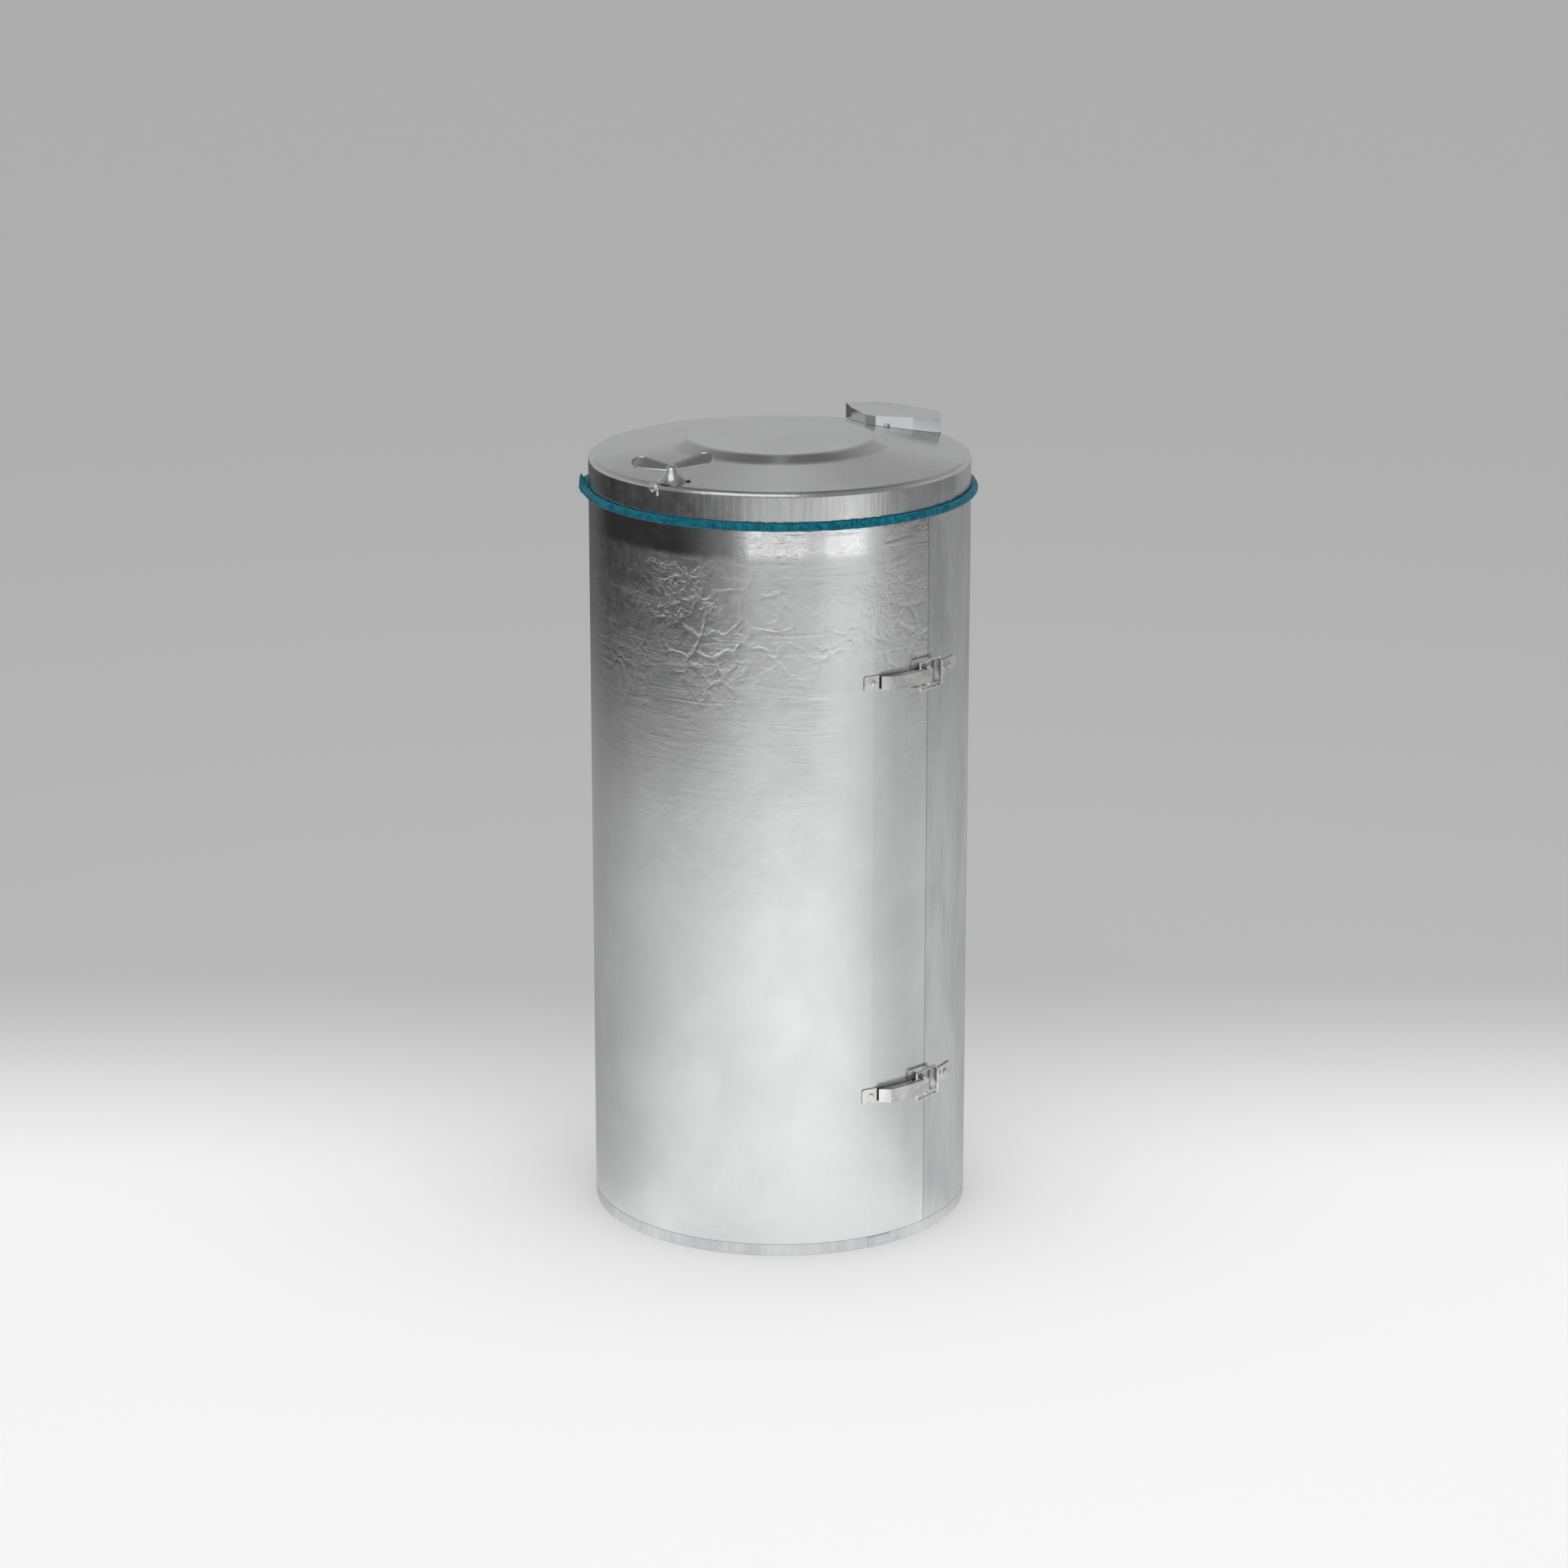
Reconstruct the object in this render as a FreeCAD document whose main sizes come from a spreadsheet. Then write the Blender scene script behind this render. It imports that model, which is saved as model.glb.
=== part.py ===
import FreeCAD, Part
import math
import os
import Sketcher

from FreeCAD import Placement, Rotation, Vector

# Galvanized waste can: a half-round door with two toggle latches on a fixed half shell, a hinged lid
# and a bag that hangs in the top ring. Millimetres, +Z up, origin on the can's axis at floor level.
# The front (middle of the door) faces -Y, the latches are at +X and the door's hinges at -X.
# Angles are in degrees about Z, counted from +X towards +Y.

SIZES = {
    # can
    "bodyRadius": 225, "sheetWall": 1, "sheetGap": 0.3, "seamHalfAngle": 0.08,
    # floor
    "ringLow": 13.2, "ringHigh": 40, "lapStart": -22, "lapSpan": 8, "lapWall": 0.7, "lapMargin": 1.2,
    "panHeight": 17.2, "panRimDrop": 15, "shellFoot": 13.6, "shellHead": 876,
    # posts behind the door's two edges
    "postStart": 4, "postSpan": 10, "postLeg": 8, "postMargin": 2,
    # top collar
    "bandDrop": 28, "webRise": 5.2, "neckInset": 7.2, "neckTall": 23.8,
    "beadOut": 3, "beadWire": 3.6,
    # bag and its elastic ring
    "filmWall": 1, "bagInset": 15, "bagFootInset": 45, "bagShoulder": 60, "hemEndAngle": -8,
    "elasticWall": 2, "elasticTall": 6,
    # lid
    "lidRise": 34, "lidSlopeRise": 12.5, "slopeRun": 98, "discStepRun": 16, "discRise": 8.5,
    "creaseRound": 6, "discRound": 16, "hemTall": 11, "lidLift": 0.45,
    # grip on the lid
    "gripInset": 18, "gripAngle": -85.5, "gripTurn": 38, "footRadius": 17, "footWaist": 9.5,
    "footWaistHeight": 8.6, "footNeck": 6.5, "footTall": 14, "crownTop": 17.4, "crownRadius": 4,
    "wingLength": 38, "wingTip": 11.5, "wingRoot": 5.5, "wingWall": 1.8, "wingLift": 2.5,
    "wingSweep": 22, "wingTilt": 18,
    # hinge hood on the lid
    "hoodWall": 1.5, "noseInset": 57, "noseHalf": 8, "shoulderHalf": 48, "shoulderInset": 35,
    "hoodHalf": 74, "cheekInset": 14, "hoodRise": 19, "hoodSkirtDrop": 10,
    "flapHalf": 46, "knuckleRadius": 5, "hingePinRadius": 3, "pinClearance": 0.05,
    "lidAxisOut": 13, "lidAxisDrop": 19.2, "stopDrop": 12.5, "bracketHalf": 19.5, "knuckleGap": 0.5,
    "bracketHalfAngle": 11, "bracketFootDrop": 70, "bracketHeadDrop": 16, "plateWall": 1.8,
    "strapRoot": 14, "bracketRivetAngle": 7.2, "bracketRivetLow": 12, "bracketRivetPitch": 22,
    "pinHeadTall": 1.6, "pinHeadInset": 0.4,
    # door hinges
    "doorAxisOut": 7, "doorKnuckle": 4.6, "leafWall": 1.8, "leafAngle": 10, "leafTall": 81,
    "upperHingeDrop": 176, "lowerHingeHeight": 190, "leafRivetAngle": 7.2, "leafRivetPitch": 50,
    # latches
    "upperLatchDrop": 185, "lowerLatchHeight": 190, "latchPivotAngle": -2.6, "latchPivotOut": 9,
    "baseStart": -24.2, "tabHalfTall": 9, "tabCorner": 3, "baseHalfTall": 10.5, "latchWall": 1.5,
    "lugRadius": 4.6, "lugMargin": 1.5, "leverPinRadius": 2,
    "leverStart": -16.2, "leverOut": 11.6, "leverHalfTall": 8, "leverWebDeep": 9, "leverHeelDeep": 4.6,
    "leverHeel": 17, "fingerRun": 2.8, "fingerDrop": 8.6, "earInset": 0.8,
    "leverTail": 4, "leverSideGap": 0.4, "bailArm": 13, "bailDrop": 0.5, "wireRadius": 1.5,
    "bailHalfTall": 17, "bailReach": 24, "bailHookOut": 6, "bailBend": 3.2, "hookGap": 0.35,
    "flangeHalfTall": 13.8, "flangeOut": 11.4, "lipRadius": 1.7, "catchEnd": 13.6,
    "catchHalfTall": 9, "catchRivetFirst": 7.6, "catchRivetPitch": 3.2, "baseRivetAngle": -21.3,
    "baseRivetInner": -9, "rivetRadius": 2, "rivetHead": 3.6, "rivetDome": 1.5, "rivetCrown": 1.6,
    "rivetTail": 1, "rivetTailRadius": 3, "tailClear": 0.03, "drillDeep": 30,
    "cornerHoleAngle": -2.9, "cornerHoleDrop": 9, "cornerHoleRadius": 2.2,
}

# Sizes tied to another size: what they start from, the direction and the step.
TIED = {
    "bandLow": ("shellHead", -1, "bandDrop"),
    "webTop": ("shellHead", 1, "webRise"),
    "neckHead": ("webTop", 1, "neckTall"),
    "neckRadius": ("bodyRadius", -1, "neckInset"),
    "beadRadius": ("bodyRadius", 1, "beadOut"),
    "bagRadius": ("bodyRadius", -1, "bagInset"),
    "bagFootRadius": ("bodyRadius", -1, "bagFootInset"),
    "discEdgeOut": ("bodyRadius", -1, "slopeRun"),
    "discEdgeIn": ("discEdgeOut", -1, "discStepRun"),
    "gripReach": ("bodyRadius", -1, "gripInset"),
    "noseReach": ("bodyRadius", -1, "noseInset"),
    "shoulderReach": ("bodyRadius", -1, "shoulderInset"),
    "cheekReach": ("bodyRadius", -1, "cheekInset"),
    "lidAxisHeight": ("webTop", -1, "lidAxisDrop"),
    "bracketHead": ("lidAxisHeight", -1, "bracketHeadDrop"),
    "bracketFoot": ("lidAxisHeight", -1, "bracketFootDrop"),
    "upperLatchHeight": ("shellHead", -1, "upperLatchDrop"),
    "upperHingeHeight": ("shellHead", -1, "upperHingeDrop"),
}

doc = FreeCAD.newDocument("wasteCan")
sheet = doc.addObject("Spreadsheet::Sheet", "Sizes")
for row, (alias, number) in enumerate(SIZES.items(), start=1):
    sheet.set(f"A{row}", alias)
    sheet.set(f"B{row}", str(number))
    sheet.setAlias(f"B{row}", alias)
doc.recompute()

subParts = []
alongX = Rotation(Vector(0, 1, 0), 90)


def size(alias):
    """A driving dimension, read from the sheet, or one that is tied to it."""
    if alias in TIED:
        start, direction, step = TIED[alias]
        return size(start) + direction * size(step)
    return float(getattr(sheet, alias))


def spelled(word):
    """A word of an expression, with its sheet where it is a size."""
    if word in TIED:
        start, direction, step = TIED[word]
        return f"( {spelled(start)} {'+' if direction > 0 else '-'} {spelled(step)} )"
    return "Sizes." + word if word in SIZES else word


def bound(text):
    """An expression in which each size is written with its sheet."""
    words = text.replace("(", " ( ").replace(")", " ) ").split()
    return " ".join(spelled(word) for word in words)


def keep(item, label):
    """Name a finished sub-part and list it for writing."""
    item.Label = label
    subParts.append(item)
    return item


# ---- small builders -------------------------------------------------------------------------


def bind(item, **expressions):
    for name, text in expressions.items():
        item.setExpression(name, bound(text))
    return item


def turned(angle, height=0.0):
    return Placement(Vector(0, 0, height), Rotation(Vector(0, 0, 1), angle))


def onCan(radius, angle, height):
    """A frame on the can: its X axis points outward and its Z axis up."""
    return turned(angle, height) * Placement(Vector(radius, 0, 0), Rotation())


def cylinder(name, radius, tall, place=None, span="360"):
    item = doc.addObject("Part::Cylinder", name)
    bind(item, Radius=radius, Height=tall, Angle=span)
    item.Placement = place or Placement()
    return item


def box(name, deep, wide, tall, place=None):
    item = doc.addObject("Part::Box", name)
    bind(item, Length=deep, Width=wide, Height=tall)
    item.Placement = place or Placement()
    return item


def cut(name, base, tool):
    item = doc.addObject("Part::Cut", name)
    item.Base, item.Tool = base, tool
    return item


def fused(name, pieces):
    item = doc.addObject("Part::MultiFuse", name)
    item.Shapes = pieces
    return item


def common(name, pieces):
    item = doc.addObject("Part::MultiCommon", name)
    item.Shapes = pieces
    return item


def band(name, outer, inner, tall, low, start=0.0, span="360"):
    """A sheet-metal band round the can's axis, from angle start over span."""
    solid = cylinder(name + "Outside", outer, tall, turned(start, low), span)
    hollow = cylinder(name + "Inside", inner, tall + " + 2", turned(0, low - 1))
    return cut(name, solid, hollow)


def shaped(name, shape):
    item = doc.addObject("Part::Feature", name)
    item.Shape = shape
    return item


def outline(body, role, name, corners, offset="0"):
    """A closed sketch through corners, each a pair of expressions in the sheet's names."""
    plane = [f for f in body.Origin.OriginFeatures if f.Role == role][0]
    sketch = body.newObject("Sketcher::SketchObject", name)
    sketch.AttachmentSupport = (plane, "")
    sketch.MapMode = "FlatFace"
    sketch.setExpression(".AttachmentOffset.Base.z", bound(offset))
    count = len(corners)
    ring = [2 * math.pi * k / count for k in range(count)]
    rough = [Vector(100 * math.cos(a), 100 * math.sin(a), 0) for a in ring]
    for k in range(count):
        sketch.addGeometry(Part.LineSegment(rough[k], rough[(k + 1) % count]), False)
    for k in range(count):
        sketch.addConstraint(Sketcher.Constraint("Coincident", k, 2, (k + 1) % count, 1))
    for k, (across, up) in enumerate(corners):
        for kind, value, text in (("DistanceX", rough[k].x, across), ("DistanceY", rough[k].y, up)):
            index = sketch.addConstraint(Sketcher.Constraint(kind, -1, 1, k, 1, value))
            sketch.setExpression(f"Constraints[{index}]", bound(text))
    return sketch


def revolved(label, corners):
    """A body turned about Z from an outline of (radius, height) corners."""
    body = doc.addObject("PartDesign::Body", label)
    sketch = outline(body, "XZ_Plane", label + "Outline", corners)
    turn = body.newObject("PartDesign::Revolution", label + "Turn")
    turn.Profile = sketch
    turn.ReferenceAxis = (sketch, ["V_Axis"])
    turn.Angle = 360
    doc.recompute()
    return body


def padded(label, role, corners, tall, offset="0", middle=False):
    """A body padded from an outline on one of its own origin planes."""
    body = doc.addObject("PartDesign::Body", label)
    sketch = outline(body, role, label + "Outline", corners, offset)
    pad = body.newObject("PartDesign::Pad", label + "Pad")
    pad.Profile = sketch
    pad.Midplane = middle
    pad.setExpression("Length", bound(tall))
    doc.recompute()
    return body


def ringEdges(shape, radius, height):
    """The names of the circular edges of this radius round Z at this height."""
    found = []
    for k, edge in enumerate(shape.Edges, start=1):
        middle = edge.BoundBox.Center
        isRound = hasattr(edge, "Curve") and edge.Curve.TypeId == "Part::GeomCircle"
        if isRound and abs(edge.Curve.Radius - radius) < 0.05 and abs(middle.z - height) < 0.05:
            found.append(f"Edge{k}")
    return found


def rounded(body, spots, radius):
    """Fillet the ring edges at the (radius, height) spots of a turned body."""
    base = body.Tip
    names = [n for spot in spots for n in ringEdges(base.Shape, *spot)]
    fillet = body.newObject("PartDesign::Fillet", body.Name + "Round" + str(len(body.Group)))
    fillet.Base = (base, names)
    fillet.setExpression("Radius", bound(radius))
    doc.recompute()
    return body


# ---- rivets: a domed head outside, a shank through the sheets and a flat tail inside ----------


def rivetShape(headSeat, tailSeat):
    """A rivet along X with its head seated at x = headSeat and its tail at x = tailSeat."""
    axis = Vector(1, 0, 0)
    shank = Part.makeCylinder(size("rivetRadius"), headSeat - tailSeat, Vector(tailSeat, 0, 0), axis)
    head = Part.makeCone(
        size("rivetHead"), size("rivetCrown"), size("rivetDome"), Vector(headSeat, 0, 0), axis
    )
    tail = Part.makeCylinder(
        size("rivetTailRadius"), size("rivetTail"), Vector(tailSeat - size("rivetTail"), 0, 0), axis
    )
    return shank.fuse([head, tail]).removeSplitter()


def rivetGroup(label, spots, headSeat, tailSeat):
    """One node of identical rivets at (angle, height) spots, with their seats as radii."""
    solids = []
    for angle, height in spots:
        solid = rivetShape(headSeat, tailSeat)
        solid.Placement = turned(angle, height)
        solids.append(solid)
    return keep(shaped(label, Part.makeCompound(solids)), label)


def drill(name, spots, radius="rivetRadius"):
    """Radial cylinders that cut the holes for rivets at (angle, height) spots."""
    start = Vector(size("bodyRadius") - size("drillDeep") / 2, 0, 0)
    rods = []
    for k, (angle, height) in enumerate(spots):
        place = turned(angle, height) * Placement(start, alongX)
        rods.append(cylinder(f"{name}Rod{k}", radius, "drillDeep", place))
    return fused(name, rods) if len(rods) > 1 else rods[0]


# ---- derived places ---------------------------------------------------------------------------

skin = size("bodyRadius")
wall = size("sheetWall")
fitGap = size("sheetGap")
shellTall = "( shellHead - shellFoot )"
innerRadius = skin - wall
tailSeat = innerRadius - size("tailClear")
plateSeat = skin + fitGap
beadHeight = size("webTop") - wall / 2
lidLow = beadHeight + math.sqrt(
    (size("beadWire") + fitGap + size("filmWall")) ** 2 - (size("beadRadius") - skin) ** 2
) + size("lidLift")
creaseHeight = lidLow + size("lidRise")
lidTop = creaseHeight + size("lidSlopeRise") + size("discRise")
latchHeights = {"upper": size("upperLatchHeight"), "lower": size("lowerLatchHeight")}
hingeHeights = {"upper": size("upperHingeHeight"), "lower": size("lowerHingeHeight")}

leafAngles = {
    "door": 180 + size("leafRivetAngle"),
    "shell": 180 - size("leafRivetAngle"),
}
leafSpots = {
    side: [
        (angle, height + step * size("leafRivetPitch") / 2)
        for height in hingeHeights.values()
        for step in (-1, 1)
    ]
    for side, angle in leafAngles.items()
}
baseSpots = [
    (angle, height)
    for height in latchHeights.values()
    for angle in (size("baseRivetAngle"), size("baseRivetInner"))
]
catchAngles = [size("catchRivetFirst"), size("catchRivetFirst") + size("catchRivetPitch")]
catchSpots = [(angle, height) for height in latchHeights.values() for angle in catchAngles]
bracketSpots = [
    (90 + side * size("bracketRivetAngle"), size("bracketFoot") + size("bracketRivetLow") + rise)
    for side in (-1, 1)
    for rise in (0, size("bracketRivetPitch"))
]

# ---- floor -------------------------------------------------------------------------------------


def makeBaseRing():
    ring = revolved("baseRingBand", [
        ("bodyRadius - sheetWall", "0"),
        ("bodyRadius", "0"),
        ("bodyRadius", "ringLow"),
        ("bodyRadius - sheetWall - sheetGap", "ringLow"),
        ("bodyRadius - sheetWall - sheetGap", "ringHigh"),
        ("bodyRadius - 2 * sheetWall - sheetGap", "ringHigh"),
        ("bodyRadius - 2 * sheetWall - sheetGap", "ringLow - sheetWall"),
        ("bodyRadius - sheetWall", "ringLow - sheetWall"),
    ])
    margin = size("lapMargin")
    lap = band("ringLap", "bodyRadius + lapWall", "bodyRadius - sheetWall / 2",
               "ringLow - 2 * lapMargin", margin, size("lapStart"), "lapSpan")
    keep(fused("baseRing", [ring, lap]), "base_ring")


def makeFloorPan():
    rim = "bodyRadius - 2 * sheetWall - 2 * sheetGap"
    pan = revolved("floorPan", [
        ("0", "panHeight - sheetWall"),
        (rim + " - sheetWall", "panHeight - sheetWall"),
        (rim + " - sheetWall", "panHeight - panRimDrop"),
        (rim, "panHeight - panRimDrop"),
        (rim, "panHeight"),
        ("0", "panHeight"),
    ])
    rounded(pan, [(skin - 2 * wall - 2 * fitGap, size("panHeight"))], "sheetWall * 0.9")
    keep(pan, "floor_pan")


# ---- fixed shell and posts ---------------------------------------------------------------------


def makeRearShell():
    seam = size("seamHalfAngle")
    shell = band("rearShellSheet", "bodyRadius", "bodyRadius - sheetWall",
                 shellTall, size("shellFoot"), seam, "180 - 2 * seamHalfAngle")
    spots = leafSpots["shell"] + catchSpots + bracketSpots
    keep(cut("rearShell", shell, drill("shellDrill", spots)), "rear_shell")


def makePost(label, start, legAngle):
    """An angle of sheet behind one edge of the door, with its leg turned inward."""
    outer = "bodyRadius - sheetWall - sheetGap"
    low = size("ringHigh") + size("postMargin")
    tall = "bandLow - ringHigh - 2 * postMargin"
    face = band(label + "Face", outer, outer + " - sheetWall", tall, low, start, "postSpan")
    place = onCan(skin - 2 * wall - fitGap - size("postLeg"), legAngle, low)
    place = place * Placement(Vector(0, -wall / 2, 0), Rotation())
    leg = box(label + "Leg", "postLeg + sheetWall / 2", "sheetWall", tall, place)
    keep(fused(label, [face, leg]), label)


# ---- top collar, bag and elastic ring ------------------------------------------------------------


def makeCollar():
    bandOut = "bodyRadius - sheetWall - sheetGap"
    collar = revolved("collarSheet", [
        (bandOut + " - sheetWall", "bandLow"),
        (bandOut, "bandLow"),
        (bandOut, "webTop - sheetWall"),
        ("beadRadius", "webTop - sheetWall"),
        ("beadRadius", "webTop"),
        ("neckRadius", "webTop"),
        ("neckRadius", "neckHead"),
        ("neckRadius - sheetWall", "neckHead"),
        ("neckRadius - sheetWall", "webTop - sheetWall"),
        (bandOut + " - sheetWall", "webTop - sheetWall"),
    ])
    bead = doc.addObject("Part::Torus", "collarBead")
    bind(bead, Radius1="beadRadius", Radius2="beadWire")
    bead.Placement = turned(0, beadHeight)
    keep(fused("topCollar", [collar, bead]), "top_collar")


def makeBag():
    """The bag hangs inside the neck, folds over it and ends in a hem over the bead."""
    film = size("filmWall")
    neckIn = size("neckRadius") - wall - fitGap
    neckOut = size("neckRadius") + fitGap
    top = size("neckHead") + fitGap
    web = size("webTop") + fitGap
    foot = size("panHeight") + fitGap
    beadIn = size("beadWire") + fitGap
    centre = Vector(size("beadRadius"), 0, beadHeight)

    def aroundBead(radius, degrees):
        angle = math.radians(degrees)
        return centre + Vector(radius * math.cos(angle), 0, radius * math.sin(angle))

    def meets(radius, height):
        """The angle at which a circle round the bead reaches this height, on its inner side."""
        return 180 - math.degrees(math.asin((height - beadHeight) / radius))

    side = size("bagRadius")
    bottom = size("bagFootRadius")
    shoulder = size("bagShoulder")
    outerStart = meets(beadIn, web)
    innerStart = meets(beadIn + film, web + film)
    hemEnd = size("hemEndAngle")
    outward = math.cos(math.pi / 4)
    curve = side - bottom, shoulder - foot
    path = [
        Part.LineSegment(Vector(0, 0, foot), Vector(bottom, 0, foot)),
        Part.Arc(
            Vector(bottom, 0, foot),
            Vector(bottom + curve[0] * outward, 0, shoulder - curve[1] * outward),
            Vector(side, 0, shoulder),
        ),
        Part.LineSegment(Vector(side, 0, shoulder), Vector(side, 0, size("bandLow"))),
        Part.LineSegment(Vector(side, 0, size("bandLow")), Vector(neckIn, 0, size("webTop"))),
        Part.LineSegment(Vector(neckIn, 0, size("webTop")), Vector(neckIn, 0, top)),
        Part.LineSegment(Vector(neckIn, 0, top), Vector(neckOut, 0, top)),
        Part.LineSegment(Vector(neckOut, 0, top), Vector(neckOut, 0, web)),
        Part.LineSegment(Vector(neckOut, 0, web), aroundBead(beadIn, outerStart)),
        Part.Arc(
            aroundBead(beadIn, outerStart),
            aroundBead(beadIn, (outerStart + hemEnd) / 2),
            aroundBead(beadIn, hemEnd),
        ),
        Part.LineSegment(aroundBead(beadIn, hemEnd), aroundBead(beadIn + film, hemEnd)),
        Part.Arc(
            aroundBead(beadIn + film, hemEnd),
            aroundBead(beadIn + film, (innerStart + hemEnd) / 2),
            aroundBead(beadIn + film, innerStart),
        ),
        Part.LineSegment(
            aroundBead(beadIn + film, innerStart), Vector(neckOut + film, 0, web + film)
        ),
        Part.LineSegment(Vector(neckOut + film, 0, web + film), Vector(neckOut + film, 0, top + film)),
        Part.LineSegment(Vector(neckOut + film, 0, top + film), Vector(neckIn - film, 0, top + film)),
        Part.LineSegment(Vector(neckIn - film, 0, top + film), Vector(neckIn - film, 0, size("webTop"))),
        Part.LineSegment(
            Vector(neckIn - film, 0, size("webTop")), Vector(side - film, 0, size("bandLow"))
        ),
        Part.LineSegment(Vector(side - film, 0, size("bandLow")), Vector(side - film, 0, shoulder)),
        Part.Arc(
            Vector(side - film, 0, shoulder),
            Vector(
                bottom + (curve[0] - film) * outward, 0, shoulder - (curve[1] - film) * outward
            ),
            Vector(bottom, 0, foot + film),
        ),
        Part.LineSegment(Vector(bottom, 0, foot + film), Vector(0, 0, foot + film)),
        Part.LineSegment(Vector(0, 0, foot + film), Vector(0, 0, foot)),
    ]
    wire = Part.Wire([piece.toShape() for piece in path])
    bag = Part.Face(wire).revolve(Vector(0, 0, 0), Vector(0, 0, 1), 360)
    keep(shaped("wasteBag", bag), "waste_bag")


def makeBagRing():
    inner = "neckRadius + 2 * sheetGap + filmWall"
    low = size("webTop") + 2 * fitGap + size("filmWall")
    ring = band("elasticRing", inner + " + elasticWall", inner, "elasticTall", low)
    keep(ring, "bag_ring")


# ---- lid -----------------------------------------------------------------------------------------


def lidCorners(lift):
    """The lid's outside as (radius, height) corners, raised by lift."""
    return [
        (skin, creaseHeight + lift),
        (size("discEdgeOut"), creaseHeight + size("lidSlopeRise") + lift),
        (size("discEdgeIn"), lidTop + lift),
    ]


def makeLid():
    low = str(lidLow)
    crease = low + " + lidRise"
    slopeTop = crease + " + lidSlopeRise"
    top = slopeTop + " + discRise"
    lid = revolved("lidSheet", [
        ("bodyRadius", low),
        ("bodyRadius", crease),
        ("discEdgeOut", slopeTop),
        ("discEdgeIn", top),
        ("0", top),
        ("0", top + " - sheetWall"),
        ("discEdgeIn - sheetWall * 0.3", top + " - sheetWall"),
        ("discEdgeOut - sheetWall * 0.3", slopeTop + " - sheetWall"),
        ("bodyRadius - sheetWall", crease + " - sheetWall"),
        ("bodyRadius - sheetWall", low + " + hemTall"),
        ("bodyRadius - 2 * sheetWall", low + " + hemTall"),
        ("bodyRadius - 2 * sheetWall", low),
    ])
    rounded(lid, [(skin, creaseHeight)], "creaseRound")
    rounded(lid, [(innerRadius, creaseHeight - wall)], "creaseRound - sheetWall")
    rounded(lid, [(size("discEdgeOut"), creaseHeight + size("lidSlopeRise"))], "discRound")
    rounded(lid, [(size("discEdgeIn"), lidTop)], "discRound")
    lower = size("discEdgeOut") - wall * 0.3, creaseHeight + size("lidSlopeRise") - wall
    upper = size("discEdgeIn") - wall * 0.3, lidTop - wall
    rounded(lid, [lower], "discRound")
    rounded(lid, [upper], "discRound")
    keep(lid, "lid_shell")


def slopeHeight(radius):
    """The height of the lid's sloped face at this radius."""
    share = (skin - radius) / size("slopeRun")
    return creaseHeight + share * size("lidSlopeRise")


def makeWing(name, side):
    """One wing of the grip: a drop-shaped plate that rises and sweeps away from the foot."""
    reach, tip, root = size("wingLength"), size("wingTip"), size("wingRoot")
    lean = math.asin((tip - root) / reach)
    rise, run = math.cos(lean), math.sin(lean)
    edges = [
        Part.LineSegment(Vector(-root * run, root * rise, 0), Vector(reach - tip * run, tip * rise, 0)),
        Part.Arc(
            Vector(reach - tip * run, tip * rise, 0),
            Vector(reach + tip, 0, 0),
            Vector(reach - tip * run, -tip * rise, 0),
        ),
        Part.LineSegment(Vector(reach - tip * run, -tip * rise, 0), Vector(-root * run, -root * rise, 0)),
        Part.Arc(
            Vector(-root * run, -root * rise, 0), Vector(-root, 0, 0), Vector(-root * run, root * rise, 0)
        ),
    ]
    plate = Part.Face(Part.Wire([e.toShape() for e in edges])).extrude(Vector(0, 0, size("wingWall")))
    lift = math.degrees(math.atan(size("wingLift") / size("wingLength")))
    tilt = Rotation(Vector(1, 0, 0), side * size("wingTilt"))
    raiseUp = Rotation(Vector(0, 1, 0), -lift)
    sweep = Rotation(Vector(0, 0, 1), side * size("wingSweep"))
    flip = Rotation(Vector(0, 0, 1), 0 if side > 0 else 180)
    wing = shaped(name, plate)
    wing.Placement = Placement(Vector(0, 0, size("footTall")), flip * sweep * raiseUp * tilt)
    return wing


def makeGrip():
    """A pressed grip: two wings on a flared hollow foot that stands on the lid's slope."""
    foot = revolved("gripFoot", [
        ("footRadius - wingWall", "0"),
        ("footRadius", "0"),
        ("footRadius", "wingWall / 2"),
        ("footWaist", "footWaistHeight"),
        ("footNeck", "footTall - wingWall"),
        ("footNeck", "footTall + wingWall"),
        ("crownRadius", "crownTop"),
        ("0", "crownTop"),
        ("0", "footTall - 2 * wingWall"),
        ("footNeck - wingWall", "footTall - 2 * wingWall"),
        ("footWaist - wingWall", "footWaistHeight - wingWall / 2"),
    ])
    grip = fused("lidGrip", [foot, makeWing("wingRight", 1), makeWing("wingLeft", -1)])
    grip.Refine = False
    reach = size("gripReach")
    slope = math.degrees(math.atan(size("lidSlopeRise") / size("slopeRun")))
    seat = onCan(reach, size("gripAngle"), slopeHeight(reach) + fitGap)
    lean = Placement(Vector(), Rotation(Vector(0, 1, 0), slope))
    grip.Placement = seat * lean * turned(size("gripTurn") - size("gripAngle"))
    keep(grip, "lid_grip")


# ---- lid hinge -----------------------------------------------------------------------------------


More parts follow.
